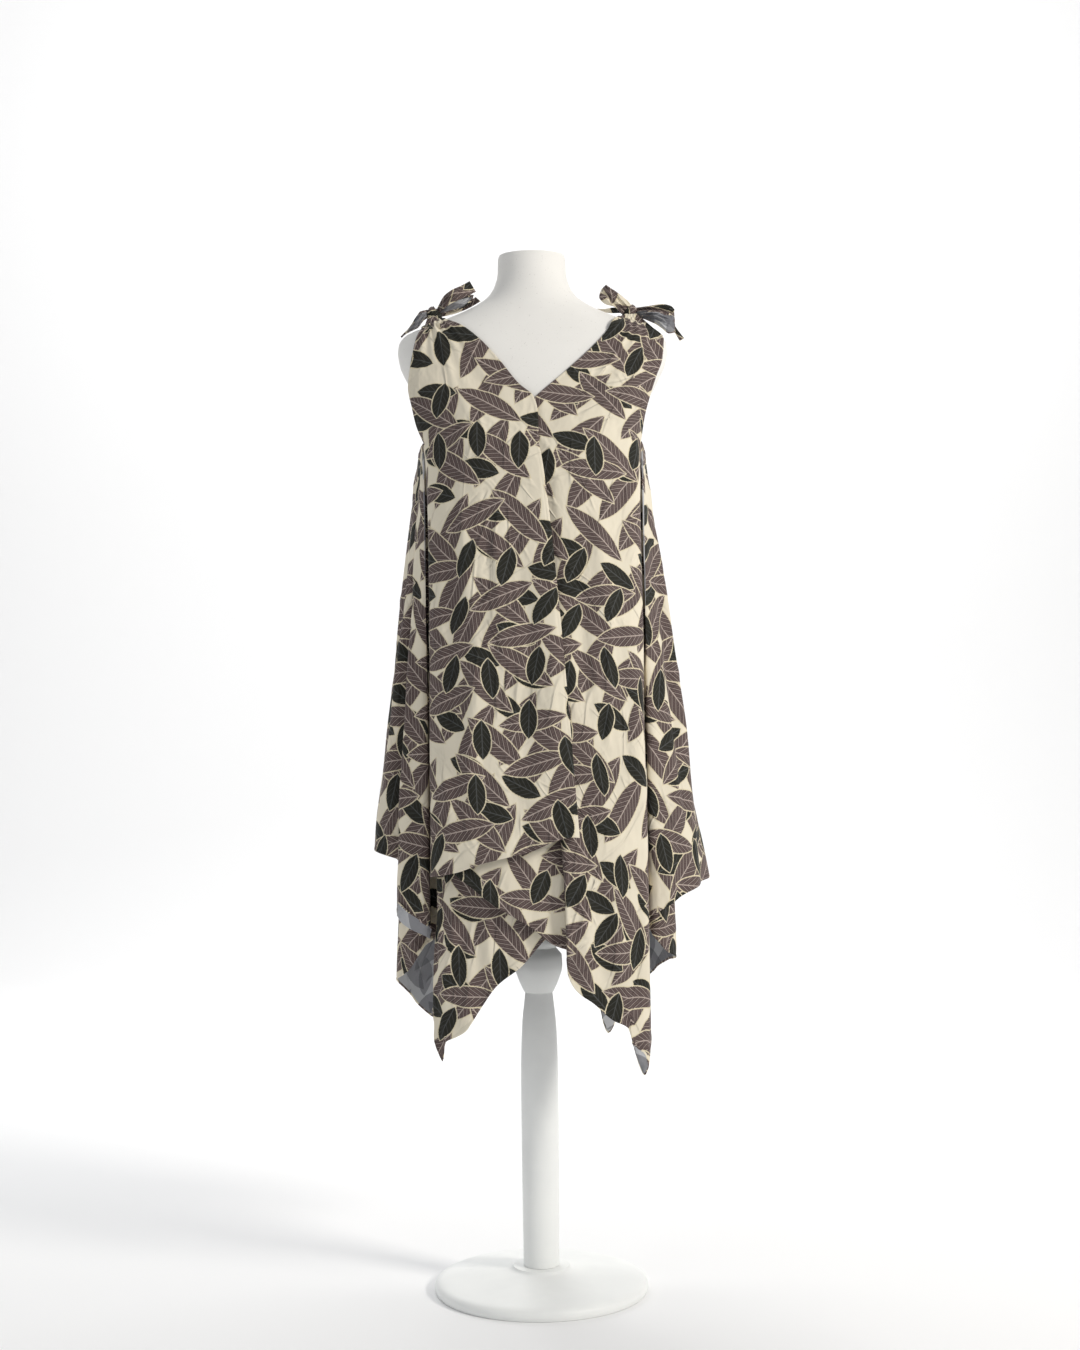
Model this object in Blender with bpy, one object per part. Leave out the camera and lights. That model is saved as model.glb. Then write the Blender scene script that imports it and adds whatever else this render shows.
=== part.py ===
"""Handkerchief dress worn by a limbless dress form.

Sleeveless V-neck dress of printed crepe.  Each front and back panel is gathered into a strap
and the straps are tied in a bow on each shoulder.  The left front laps over the right, deep
folds hang from the underarms, and two tiers of side panels end in pointed handkerchief hems.
The form is a padded torso on a turned post with a round foot.

Metres, +Z up.  X runs to the viewer's right, -Y is the front, and the origin is the middle of
the foot's underside.  "left" and "right" are the viewer's, looking at the front.
"""
import math

import bpy
import numpy as np

# ---------------------------------------------------------------- driving dimensions
CLOTH = 0.0015          # wall of every cloth piece
SEAM = 0.0004           # gap left between two sewn pieces
FORM_GAP = 0.0012       # least air between the form and the inside of the cloth
UNDERARM = 1.250        # height where the fans of cloth above meet the hanging folds below
LOW = 0.620             # height at which the "low" columns of the upper pieces are given
UNDER_TOP = 0.800       # upper edge of the lower tier, hidden under the upper one
UNDER_LOW = 0.450       # height at which the "low" columns of the lower tier are given
KNOT_X = 0.1470         # the two shoulder knots, each side of the middle
KNOT_Z = 1.4604
KNOT_HALF = (0.0125, 0.0150, 0.0125)
KNOT_WRAP = 1.03        # how far the wraps of the strap stand out of a knot
PITCH = 0.024           # widest face across a piece
FAN_STEPS = 2           # rows of faces between two rows of a fan table
HANG_ROWS = 8           # rows of faces from the underarm to a hem
UNDER_ROWS = 5
HEM_SPREAD = 0.3        # how much a piece still widens below its low stations
LAP = 0.0040            # how far the left front stands off where it laps over the right one

# ---------------------------------------------------------------- dress form
FORM_COLUMNS = "height half_width front back squareness"
FORM = np.array((
    (1.548, 0.0490, 0.046, 0.050, 2.0),   # top of the neck
    (1.543, 0.0505, 0.048, 0.052, 2.0),
    (1.520, 0.0515, 0.050, 0.053, 2.0),
    (1.503, 0.0560, 0.052, 0.055, 2.0),
    (1.487, 0.0660, 0.055, 0.058, 2.0),   # neck meets shoulder
    (1.475, 0.0820, 0.057, 0.060, 2.0),
    (1.4666, 0.0975, 0.059, 0.062, 2.1),
    (1.447, 0.1450, 0.064, 0.070, 2.2),   # under the knots
    (1.4275, 0.1915, 0.070, 0.079, 2.3),
    (1.416, 0.2000, 0.074, 0.084, 2.4),   # shoulder end
    (1.403, 0.2016, 0.078, 0.088, 2.4),
    (1.385, 0.1990, 0.084, 0.093, 2.4),
    (1.354, 0.1855, 0.094, 0.099, 2.3),
    (1.310, 0.1640, 0.109, 0.102, 2.3),   # armhole
    (1.240, 0.1570, 0.121, 0.098, 2.3),   # bust
    (1.160, 0.1370, 0.106, 0.088, 2.2),
    (1.060, 0.1130, 0.086, 0.078, 2.2),   # waist
    (0.980, 0.1250, 0.090, 0.087, 2.3),
    (0.900, 0.1410, 0.098, 0.101, 2.3),
    (0.820, 0.1460, 0.101, 0.106, 2.3),   # hips
    (0.740, 0.1410, 0.098, 0.102, 2.3),
    (0.680, 0.1300, 0.090, 0.094, 2.3),
    (0.655, 0.1180, 0.080, 0.085, 2.3),   # lower edge
))
FORM_SIDES = 28
BUST_X, BUST_Z = 0.075, 1.238   # middle of each side of the bust
BUST_SPREAD = 0.052
BUST_OUT = 0.012
STAND_SIDES = 20

COLLAR_PROFILE = (  # radius, height: turned collar and cup under the torso
    (0.0190, 0.6544), (0.0190, 0.5560), (0.0250, 0.5500), (0.0250, 0.5400), (0.0205, 0.5350),
    (0.0290, 0.5270), (0.0300, 0.5180), (0.0260, 0.5120), (0.0345, 0.5020), (0.0358, 0.4850),
    (0.0310, 0.4660), (0.0222, 0.4460),
)
POST_PROFILE = (
    (0.0205, 0.4456), (0.0215, 0.4350), (0.0252, 0.4000), (0.0272, 0.3600), (0.0280, 0.3100),
    (0.0278, 0.2000), (0.0270, 0.0900), (0.0266, 0.0364),
)
FOOT_PROFILE = (
    (0.0420, 0.0360), (0.0460, 0.0320), (0.0900, 0.0260), (0.1480, 0.0180), (0.1580, 0.0130),
    (0.1600, 0.0060), (0.1580, 0.0000),
)

# ---------------------------------------------------------------- hanging cloth
# Stations of a piece, in order along its upper edge.  top: at the piece's upper height, low: at
# its lower height, ease: how soon the fold opens on the way down (below 1 is sooner), hem: the
# height of the lower edge there.
HANG_COLUMNS = "top_x top_y low_x low_y ease hem"

FRONT_OVER = np.array((  # left front, laps over the right one
    (0.0080, -0.1450, 0.0650, -0.1880, 0.75, 0.690),    # lapping edge
    (0.0010, -0.1462, 0.0550, -0.1930, 0.75, 0.691),
    (-0.0120, -0.1465, 0.0330, -0.1935, 0.8, 0.687),
    (-0.0300, -0.1460, -0.0040, -0.1890, 0.9, 0.672),
    (-0.0580, -0.1440, -0.0410, -0.1870, 1.0, 0.663),
    (-0.0860, -0.1380, -0.0810, -0.1800, 1.0, 0.653),
    (-0.1120, -0.1260, -0.1140, -0.1680, 1.0, 0.641),
    (-0.1300, -0.1140, -0.1350, -0.1560, 0.9, 0.636),
    (-0.1440, -0.1000, -0.1480, -0.1400, 0.8, 0.633),
    (-0.1530, -0.0870, -0.1530, -0.1220, 0.6, 0.631),   # lip of the left fold
    (-0.1585, -0.0760, -0.1490, -0.0960, 0.5, 0.630),
    (-0.1610, -0.0660, -0.1490, -0.0630, 0.5, 0.630),   # seam in the fold
))
FRONT_RIGHT = np.array((  # right front, runs on under the left one
    (0.1580, -0.0660, 0.1535, -0.0630, 0.5, 0.455),     # seam in the fold
    (0.1560, -0.0770, 0.1540, -0.0900, 0.5, 0.435),
    (0.1510, -0.0910, 0.1595, -0.1200, 0.6, 0.400),     # lip of the right fold
    (0.1450, -0.1000, 0.1560, -0.1420, 0.7, 0.374),
    (0.1360, -0.1090, 0.1485, -0.1510, 0.8, 0.349),     # right point of the hem
    (0.1230, -0.1190, 0.1390, -0.1560, 1.0, 0.369),
    (0.1100, -0.1260, 0.1310, -0.1590, 1.0, 0.393),
    (0.0960, -0.1320, 0.1240, -0.1620, 1.0, 0.418),
    (0.0760, -0.1375, 0.1030, -0.1680, 1.0, 0.430),
    (0.0520, -0.1400, 0.0760, -0.1740, 1.0, 0.455),
    (0.0310, -0.1400, 0.0530, -0.1790, 1.0, 0.473),
    (0.0160, -0.1395, 0.0400, -0.1815, 1.4, 0.498),     # lip of the low pleat
    (0.0120, -0.1392, 0.0375, -0.1775, 1.6, 0.516),
    (0.0080, -0.1390, 0.0560, -0.1740, 1.8, 0.522),
    (0.0060, -0.1390, 0.0600, -0.1690, 1.8, 0.524),     # bottom of the pleat
    (0.0040, -0.1390, 0.0540, -0.1650, 1.8, 0.526),
    (-0.0020, -0.1390, 0.0250, -0.1645, 1.4, 0.535),
    (-0.0130, -0.1390, -0.0125, -0.1660, 1.0, 0.5645),
    (-0.0260, -0.1385, -0.0535, -0.1640, 1.0, 0.589),
    (-0.0440, -0.1370, -0.0990, -0.1540, 1.0, 0.622),
    (-0.0600, -0.1350, -0.1200, -0.1460, 1.0, 0.637),
))
BACK_COLUMNS = HANG_COLUMNS + " hem_left"
BACK = np.array((  # one back half, given for x > 0 and mirrored for the other
    (0.1510, 0.0729, 0.1500, 0.0779, 0.5, 0.450, 0.440),    # seam in the fold
    (0.1500, 0.0820, 0.1500, 0.1000, 0.5, 0.440, 0.425),
    (0.1450, 0.0900, 0.1540, 0.1300, 0.6, 0.415, 0.395),
    (0.1360, 0.0980, 0.1440, 0.1480, 0.9, 0.395, 0.378),
    (0.1220, 0.1060, 0.1270, 0.1540, 1.0, 0.385, 0.363),
    (0.1050, 0.1120, 0.1080, 0.1520, 1.0, 0.3535, 0.395),   # point of the back hem
    (0.0900, 0.1160, 0.0950, 0.1480, 1.0, 0.395, 0.418),
    (0.0760, 0.1180, 0.0800, 0.1470, 1.0, 0.436, 0.440),
    (0.0560, 0.1200, 0.0560, 0.1600, 1.0, 0.468, 0.468),
    (0.0360, 0.1200, 0.0330, 0.1650, 1.0, 0.500, 0.500),
    (0.0180, 0.1190, 0.0140, 0.1540, 1.0, 0.521, 0.521),
    (0.0002, 0.1180, 0.0002, 0.1520, 1.0, 0.530, 0.530),    # middle of the back
))
WING_LEFT = np.array((  # upper side tier, from the front fold round to the back fold
    (-0.1610, -0.0656, -0.1490, -0.0626, 0.5, 0.537),
    (-0.1612, -0.0640, -0.1490, -0.0560, 0.5, 0.537),
    (-0.1622, -0.0630, -0.1565, -0.0560, 0.5, 0.537),
    (-0.1630, -0.0620, -0.1580, -0.0760, 0.5, 0.537),
    (-0.1640, -0.0590, -0.1605, -0.1020, 0.6, 0.541),   # lip beside the front fold
    (-0.1650, -0.0550, -0.1690, -0.1100, 0.8, 0.547),
    (-0.1662, -0.0500, -0.1850, -0.1070, 1.0, 0.555),
    (-0.1674, -0.0450, -0.1990, -0.0970, 1.0, 0.565),
    (-0.1684, -0.0400, -0.2050, -0.0860, 1.0, 0.578),   # lip of the side fold
    (-0.1690, -0.0360, -0.1970, -0.0720, 1.2, 0.610),
    (-0.1697, -0.0310, -0.1990, -0.0620, 1.2, 0.645),
    (-0.1708, -0.0220, -0.2270, -0.0490, 1.0, 0.656),
    (-0.1720, -0.0040, -0.2510, -0.0150, 0.95, 0.663),  # outer corner
    (-0.1705, 0.0170, -0.2400, 0.0250, 1.0, 0.652),
    (-0.1675, 0.0360, -0.2150, 0.0570, 1.0, 0.640),
    (-0.1650, 0.0450, -0.2030, 0.0690, 1.0, 0.600),
    (-0.1620, 0.0540, -0.1930, 0.0830, 1.0, 0.575),
    (-0.1570, 0.0640, -0.1690, 0.1120, 0.7, 0.560),     # lip beside the back fold
    (-0.1545, 0.0690, -0.1585, 0.0940, 0.5, 0.555),
    (-0.1535, 0.0705, -0.1565, 0.0720, 0.5, 0.550),
    (-0.1515, 0.0715, -0.1500, 0.0720, 0.5, 0.550),
    (-0.1510, 0.0725, -0.1500, 0.0775, 0.5, 0.550),
))
WING_RIGHT = np.array((
    (0.1580, -0.0656, 0.1535, -0.0626, 0.5, 0.562),
    (0.1583, -0.0640, 0.1535, -0.0560, 0.5, 0.562),
    (0.1593, -0.0630, 0.1605, -0.0560, 0.5, 0.562),
    (0.1600, -0.0615, 0.1625, -0.0780, 0.5, 0.564),
    (0.1608, -0.0580, 0.1645, -0.1040, 0.6, 0.569),     # lip beside the front fold
    (0.1618, -0.0530, 0.1740, -0.1120, 0.8, 0.576),
    (0.1630, -0.0460, 0.1900, -0.1090, 1.0, 0.585),
    (0.1642, -0.0380, 0.2080, -0.0940, 1.0, 0.596),     # soft fold in the side
    (0.1652, -0.0290, 0.2240, -0.0840, 1.0, 0.604),
    (0.1660, -0.0190, 0.2390, -0.0620, 1.0, 0.611),
    (0.1665, -0.0080, 0.2480, -0.0340, 1.0, 0.614),
    (0.1665, 0.0040, 0.2565, -0.0060, 1.5, 0.6155),     # outer corner
    (0.1660, 0.0160, 0.2420, 0.0280, 1.0, 0.612),
    (0.1640, 0.0340, 0.2150, 0.0600, 1.0, 0.606),
    (0.1615, 0.0500, 0.1930, 0.0830, 1.0, 0.600),
    (0.1570, 0.0640, 0.1690, 0.1120, 0.7, 0.590),       # lip beside the back fold
    (0.1545, 0.0690, 0.1585, 0.0940, 0.5, 0.585),
    (0.1535, 0.0705, 0.1565, 0.0720, 0.5, 0.580),
    (0.1515, 0.0715, 0.1500, 0.0720, 0.5, 0.580),
    (0.1510, 0.0725, 0.1500, 0.0775, 0.5, 0.580),
))
FRONT_UNDER = np.array((  # lower tier, left front
    (0.0420, -0.1480, 0.0440, -0.1540, 1.0, 0.566),
    (0.0130, -0.1520, 0.0130, -0.1560, 1.0, 0.546),     # sewn inside the right front
    (-0.0250, -0.1556, -0.0220, -0.1600, 1.0, 0.507),
    (-0.0580, -0.1500, -0.0600, -0.1530, 1.0, 0.477),
    (-0.0800, -0.1430, -0.0860, -0.1520, 1.0, 0.440),
    (-0.0960, -0.1370, -0.1040, -0.1500, 1.0, 0.413),
    (-0.1120, -0.1270, -0.1200, -0.1440, 1.0, 0.403),
    (-0.1240, -0.1180, -0.1330, -0.1370, 1.0, 0.396),
    (-0.1320, -0.1110, -0.1395, -0.1310, 1.0, 0.367),   # left point of the hem
    (-0.1380, -0.1020, -0.1480, -0.1210, 1.2, 0.393),
    (-0.1410, -0.0920, -0.1535, -0.1040, 1.5, 0.430),
    (-0.1430, -0.0800, -0.1490, -0.0850, 1.5, 0.445),
    (-0.1440, -0.0660, -0.1468, -0.0640, 1.0, 0.455),   # seam
))
UNDER_LEFT = np.array((  # lower tier, left side, from the front fold to the back fold
    (-0.1440, -0.0656, -0.1468, -0.0636, 1.0, 0.535),
    (-0.1445, -0.0520, -0.1468, -0.0525, 1.0, 0.535),
    (-0.1560, -0.0500, -0.1570, -0.0500, 1.0, 0.530),
    (-0.1700, -0.0560, -0.1690, -0.0640, 1.0, 0.519),
    (-0.1790, -0.0530, -0.1870, -0.0610, 1.0, 0.494),
    (-0.1850, -0.0400, -0.2000, -0.0470, 1.0, 0.480),
    (-0.1930, -0.0130, -0.2125, -0.0220, 1.0, 0.467),   # outer corner
    (-0.1880, 0.0200, -0.2050, 0.0080, 1.0, 0.453),
    (-0.1790, 0.0410, -0.1900, 0.0350, 1.0, 0.431),
    (-0.1680, 0.0560, -0.1740, 0.0570, 1.0, 0.408),
    (-0.1560, 0.0620, -0.1580, 0.0640, 1.0, 0.395),
    (-0.1474, 0.0660, -0.1477, 0.0680, 1.0, 0.390),
    (-0.1474, 0.0840, -0.1477, 0.0860, 1.0, 0.390),     # seam on the back
))
UNDER_RIGHT = np.array((
    (0.1512, -0.0800, 0.1516, -0.0800, 1.0, 0.552),     # seam on the right front
    (0.1508, -0.0620, 0.1512, -0.0620, 1.0, 0.548),
    (0.1508, -0.0530, 0.1512, -0.0530, 1.0, 0.546),
    (0.1600, -0.0500, 0.1610, -0.0500, 1.0, 0.545),
    (0.1710, -0.0550, 0.1720, -0.0640, 1.0, 0.532),
    (0.1810, -0.0520, 0.1850, -0.0620, 1.0, 0.517),
    (0.1870, -0.0380, 0.1960, -0.0460, 1.0, 0.507),
    (0.1930, -0.0130, 0.2075, -0.0220, 1.0, 0.497),     # outer corner
    (0.1880, 0.0200, 0.1980, 0.0100, 1.0, 0.490),
    (0.1790, 0.0410, 0.1830, 0.0350, 1.0, 0.478),
    (0.1680, 0.0560, 0.1700, 0.0570, 1.0, 0.462),
    (0.1560, 0.0620, 0.1580, 0.0640, 1.0, 0.452),
    (0.1474, 0.0660, 0.1477, 0.0680, 1.0, 0.446),
    (0.1474, 0.0840, 0.1477, 0.0860, 1.0, 0.440),       # seam on the back
))

# ---------------------------------------------------------------- cloth above the underarm
# A fan of cloth spreads from the gathered strap.  Each row runs from the neck edge to the
# armhole edge.
FAN_COLUMNS = "neck_x neck_y neck_z arm_x arm_y arm_z"
FAN_LEFT = np.array((
    (-0.1390, -0.0164, 1.4575, -0.1550, -0.0164, 1.4575),  # at the knot
    (-0.1230, -0.0300, 1.4460, -0.1620, -0.0240, 1.4370),
    (-0.1030, -0.0400, 1.4350, -0.1700, -0.0320, 1.4230),
    (-0.0750, -0.0560, 1.4110, -0.1760, -0.0440, 1.4010),
    (-0.0490, -0.0720, 1.3810, -0.1810, -0.0540, 1.3730),
    (-0.0200, -0.0920, 1.3430, -0.1835, -0.0610, 1.3440),
    (0.0020, -0.1080, 1.3210, -0.1780, -0.0650, 1.3150),
    (0.0075, -0.1200, 1.2950, -0.1715, -0.0665, 1.2870),
))
FAN_RIGHT = np.array((
    (0.1390, -0.0164, 1.4575, 0.1560, -0.0164, 1.4575),    # at the knot
    (0.1210, -0.0280, 1.4450, 0.1770, -0.0220, 1.4380),
    (0.1090, -0.0420, 1.4240, 0.1950, -0.0330, 1.4170),
    (0.0810, -0.0600, 1.3930, 0.1920, -0.0460, 1.3860),
    (0.0555, -0.0740, 1.3690, 0.1820, -0.0540, 1.3580),
    (0.0330, -0.0860, 1.3490, 0.1735, -0.0600, 1.3320),
    (0.0050, -0.1020, 1.3240, 0.1650, -0.0640, 1.3020),
    (-0.0320, -0.1180, 1.2850, 0.1610, -0.0660, 1.2810),
))
FAN_BACK = np.array((  # for x > 0
    (0.1390, 0.0164, 1.4575, 0.1560, 0.0164, 1.4575),
    (0.1180, 0.0330, 1.4430, 0.1700, 0.0270, 1.4300),
    (0.0930, 0.0500, 1.4270, 0.1790, 0.0440, 1.4000),
    (0.0640, 0.0680, 1.4080, 0.1800, 0.0560, 1.3650),
    (0.0330, 0.0820, 1.3900, 0.1740, 0.0640, 1.3330),
    (0.0002, 0.0940, 1.3700, 0.1660, 0.0690, 1.3020),
    (0.0002, 0.1080, 1.3100, 0.1580, 0.0715, 1.2780),
))

# ---------------------------------------------------------------- bows
# Ends and loops of the straps, from the knot outwards: upper edge, lower edge, middle depth,
# how far the lower edge stands in front of the upper one, and how far the middle bulges.
LEAF_COLUMNS = "upper_x upper_z lower_x lower_z y lean bulge"
LEAVES = {
    "bow_left_tail_upper": np.array((
        (-0.1400, 1.4735, -0.1385, 1.4680, -0.0090, 0.002, 0.001),
        (-0.1314, 1.4877, -0.1290, 1.4750, -0.0160, 0.003, 0.004),
        (-0.1180, 1.4960, -0.1147, 1.4815, -0.0190, 0.003, 0.005),
        (-0.1047, 1.5027, -0.1014, 1.4865, -0.0150, 0.002, 0.003),
        (-0.0930, 1.5100, -0.0836, 1.4943, -0.0080, 0.000, 0.001),
    )),
    "bow_left_tail_lower": np.array((
        (-0.1385, 1.4675, -0.1375, 1.4635, -0.0030, 0.000, 0.001),
        (-0.1280, 1.4743, -0.1264, 1.4655, -0.0070, -0.004, -0.003),
        (-0.1114, 1.4818, -0.1097, 1.4702, -0.0080, -0.006, -0.004),
        (-0.0980, 1.4868, -0.0965, 1.4765, -0.0060, -0.005, -0.003),
        (-0.0870, 1.4900, -0.0905, 1.4820, -0.0030, -0.002, -0.001),
    )),
    "bow_left_tail_rear": np.array((
        (-0.1370, 1.4650, -0.1360, 1.4600, 0.0040, 0.000, 0.000),
        (-0.1214, 1.4690, -0.1180, 1.4640, 0.0050, 0.002, 0.001),
        (-0.1014, 1.4760, -0.0975, 1.4720, 0.0060, 0.002, 0.001),
        (-0.0847, 1.4885, -0.0780, 1.4825, 0.0060, 0.001, 0.000),
    )),
    "bow_left_loop": np.array((
        (-0.1585, 1.4665, -0.1585, 1.4580, -0.0070, 0.004, 0.001),
        (-0.1664, 1.4643, -0.1630, 1.4510, -0.0130, 0.005, 0.005),
        (-0.1735, 1.4543, -0.1690, 1.4420, -0.0170, 0.004, 0.005),
        (-0.1820, 1.4420, -0.1790, 1.4345, -0.0170, 0.002, 0.003),
        (-0.1960, 1.4275, -0.1940, 1.4245, -0.0130, 0.000, 0.000),
    )),
    "bow_right_loop_upper": np.array((
        (0.1445, 1.4745, 0.1350, 1.4660, -0.0050, 0.004, 0.001),
        (0.1378, 1.4813, 0.1180, 1.4725, -0.0140, 0.006, 0.006),
        (0.1245, 1.4930, 0.1061, 1.4747, -0.0180, 0.006, 0.008),
        (0.1161, 1.4988, 0.1011, 1.4847, -0.0160, 0.004, 0.006),
        (0.1103, 1.5030, 0.1061, 1.4980, -0.0100, 0.001, 0.001),
    )),
    "bow_right_loop_outer": np.array((
        (0.1585, 1.4620, 0.1580, 1.4570, -0.0080, 0.002, 0.001),
        (0.1711, 1.4600, 0.1728, 1.4490, -0.0190, 0.006, 0.006),
        (0.1878, 1.4563, 0.1895, 1.4380, -0.0260, 0.008, 0.009),
        (0.2028, 1.4538, 0.2040, 1.4275, -0.0230, 0.006, 0.008),
        (0.2115, 1.4572, 0.2128, 1.4300, -0.0130, 0.002, 0.002),
    )),
    "bow_right_loop_top": np.array((
        (0.1580, 1.4680, 0.1585, 1.4635, -0.0010, -0.002, 0.000),
        (0.1745, 1.4690, 0.1740, 1.4625, -0.0060, -0.006, -0.002),
        (0.1928, 1.4700, 0.1911, 1.4590, -0.0100, -0.008, -0.003),
        (0.2060, 1.4685, 0.2040, 1.4600, -0.0100, -0.006, -0.002),
        (0.2125, 1.4650, 0.2120, 1.4600, -0.0080, -0.002, 0.000),
    )),
    "bow_right_tail": np.array((
        (0.1592, 1.4600, 0.1590, 1.4560, 0.0030, 0.000, 0.000),
        (0.1850, 1.4560, 0.1840, 1.4510, 0.0010, 0.000, 0.001),
        (0.2110, 1.4450, 0.2080, 1.4400, 0.0000, 0.000, 0.001),
        (0.2190, 1.4347, 0.2150, 1.4305, 0.0000, 0.000, 0.001),
        (0.2278, 1.4230, 0.2211, 1.4188, 0.0000, 0.000, 0.000),
    )),
    "bow_right_tail_inner": np.array((
        (0.1350, 1.4690, 0.1360, 1.4640, 0.0050, 0.000, 0.000),
        (0.1220, 1.4710, 0.1220, 1.4640, 0.0100, 0.000, 0.001),
        (0.1090, 1.4700, 0.1100, 1.4655, 0.0120, 0.000, 0.001),
        (0.0980, 1.4705, 0.0985, 1.4685, 0.0130, 0.000, 0.000),
    )),
}
LEAF_ROWS = 2           # rows of faces between two rows of a leaf table
LEAF_FACES = 3


def column(table, names, name):
    """One named column of a table."""
    return table[:, names.split().index(name)]


def smooth_table(keys, values, at):
    """Smooth curve through rising keys that never overshoots (monotone cubic)."""
    step = np.diff(keys)
    slope = np.diff(values) / step
    inner = np.where(slope[:-1] * slope[1:] > 0,
                     2 * slope[:-1] * slope[1:] / (slope[:-1] + slope[1:] + 1e-12), 0.0)
    tangent = np.concatenate([slope[:1], inner, slope[-1:]])
    at = np.clip(at, keys[0], keys[-1])
    i = np.clip(np.searchsorted(keys, at) - 1, 0, len(step) - 1)
    t = (at - keys[i]) / step[i]
    return ((2 * t**3 - 3 * t**2 + 1) * values[i] + (t**3 - 2 * t**2 + t) * step[i] * tangent[i]
            + (3 * t**2 - 2 * t**3) * values[i + 1] + (t**3 - t**2) * step[i] * tangent[i + 1])


def form_at(height):
    """Half width, front depth, back depth and squareness of the form at a height."""
    rising = FORM[::-1]
    keys = column(rising, FORM_COLUMNS, "height")
    return [smooth_table(keys, column(rising, FORM_COLUMNS, name), height)
            for name in FORM_COLUMNS.split()[1:]]


def bust(x, z, facing):
    """How far the bust stands out of the plain section, on the front only."""
    mound = np.exp(-((np.abs(x) - BUST_X) / BUST_SPREAD) ** 2 - ((z - BUST_Z) / BUST_SPREAD) ** 2)
    return BUST_OUT * mound * np.clip(facing, 0, 1)


def form_level(points):
    """Below 1 inside the form, 1 on its surface, above 1 outside."""
    x, y, z = points[..., 0], points[..., 1], points[..., 2]
    width, front, back, square = form_at(z)
    depth = np.where(y < 0, front + bust(x, z, 1.0), back)
    return (np.abs(x / width) ** square + np.abs(y / depth) ** square) ** (1 / square)


def clear_of_form(points, gap):
    """Moves the points that lie nearer the form than the gap out to it.

    They go straight forward or back where the form faces that way, so that what is seen from the
    front keeps its place, and else along the form's normal.
    """
    points = points.copy()
    small = 1e-4
    for _ in range(12):
        level = form_level(points)
        rise = np.stack([form_level(points + small * axis) - level for axis in np.eye(3)], -1)
        rise /= small
        steep = np.maximum(np.linalg.norm(rise, axis=-1), 1e-6)
        normal = rise / steep[..., None]
        push = np.clip(gap - (level - 1) / steep, 0, 0.02)
        facing = normal[..., 1]
        straight = np.zeros_like(points)
        straight[..., 1] = np.sign(facing) / np.maximum(np.abs(facing), 0.3)
        way = np.where((np.abs(facing) > 0.3)[..., None], straight, normal)
        points += push[..., None] * way
    return points


def clear_of_knot(points, x):
    """Moves the points that lie inside a knot out to its surface."""
    middle = np.array((x, 0, KNOT_Z))
    half = np.array(KNOT_HALF) * KNOT_WRAP + SEAM
    offset = points - middle
    level = np.maximum(np.linalg.norm(offset / half, axis=-1, keepdims=True), 1e-6)
    return np.where(level < 1, middle + offset / level, points)


def meet_knot(grid, x):
    """Slides the first row of a leaf to the surface of its knot."""
    half = np.array(KNOT_HALF) + SEAM
    offset = grid[0] - np.array((x, 0, KNOT_Z))
    level = np.linalg.norm(offset / half, axis=-1)
    nearest = level.argmin()
    shift = offset[nearest] * (1 / level[nearest] - 1)
    grid = grid.copy()
    grid[0] += shift
    grid[1] += shift / 2
    return grid


def material(name, colour, roughness):
    made = bpy.data.materials.new(name)
    made.use_nodes = True
    shader = made.node_tree.nodes["Principled BSDF"]
    shader.inputs["Base Color"].default_value = (*colour, 1)
    shader.inputs["Roughness"].default_value = roughness
    shader.inputs["Metallic"].default_value = 0.0
    return made


def add_object(name, points, faces, look):
    mesh = bpy.data.meshes.new(name)
    mesh.from_pydata([tuple(p) for p in points], [], faces)
    mesh.validate()
    mesh.shade_smooth()
    mesh.set_sharp_from_angle(angle=math.radians(50))
    mesh.materials.append(look)
    made = bpy.data.objects.new(name, mesh)
    bpy.context.scene.collection.objects.link(made)
    return made


def lengthwise(grid):
    """Unit normals of a grid of points, by the differences along its rows and columns."""
    across = np.gradient(grid, axis=1)
    down = np.gradient(grid, axis=0)
    normal = np.cross(across, down)
    return normal / np.maximum(np.linalg.norm(normal, axis=2, keepdims=True), 1e-12)


def wall(name, grid, outward, look, thickness=CLOTH):
    """Closed cloth wall: the grid is its outer face, and the inner face lies behind it.

    outward is +1 or -1 and turns the grid's normals away from the body.
    """
    rows, columns, _ = grid.shape
    inner = grid - outward * lengthwise(grid) * thickness
    points = np.concatenate([grid.reshape(-1, 3), inner.reshape(-1, 3)])
    behind = rows * columns
    faces = []
    for i in range(rows - 1):
        for j in range(columns - 1):
            a = i * columns + j
            b, c, d = a + 1, a + columns + 1, a + columns
            faces.append((a, b, c, d))
            faces.append((a + behind, d + behind, c + behind, b + behind))
    edge = [(0, j) for j in range(columns)]
    edge += [(i, columns - 1) for i in range(1, rows)]
    edge += [(rows - 1, j) for j in range(columns - 2, -1, -1)]
    edge += [(i, 0) for i in range(rows - 2, 0, -1)]
    loop = [i * columns + j for i, j in edge]
    for a, b in zip(loop, loop[1:] + loop[:1]):
        faces.append((b, a, a + behind, b + behind))
    if outward < 0:
        faces = [face[::-1] for face in faces]
    return add_object(name, points, faces, look)


def path_keys(path):
    """Length along a path at each of its points."""
    return np.concatenate([[0], np.cumsum(np.linalg.norm(np.diff(path, axis=0), axis=1))])


def samples(keys, pitch):
    """Places along a path: each key, and enough between that none is wider than the pitch."""
    places = []
    for start, end in zip(keys, keys[1:]):
        count = max(1, math.ceil((end - start) / pitch - 0.2))
        places.extend(np.linspace(start, end, count, endpoint=False))
    return np.array(places + [keys[-1]])


def curve(keys, rows, at):
    """Smooth curve through the rows of a table."""
    return np.stack([smooth_table(keys, rows[:, k], at) for k in range(rows.shape[1])], -1)


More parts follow.
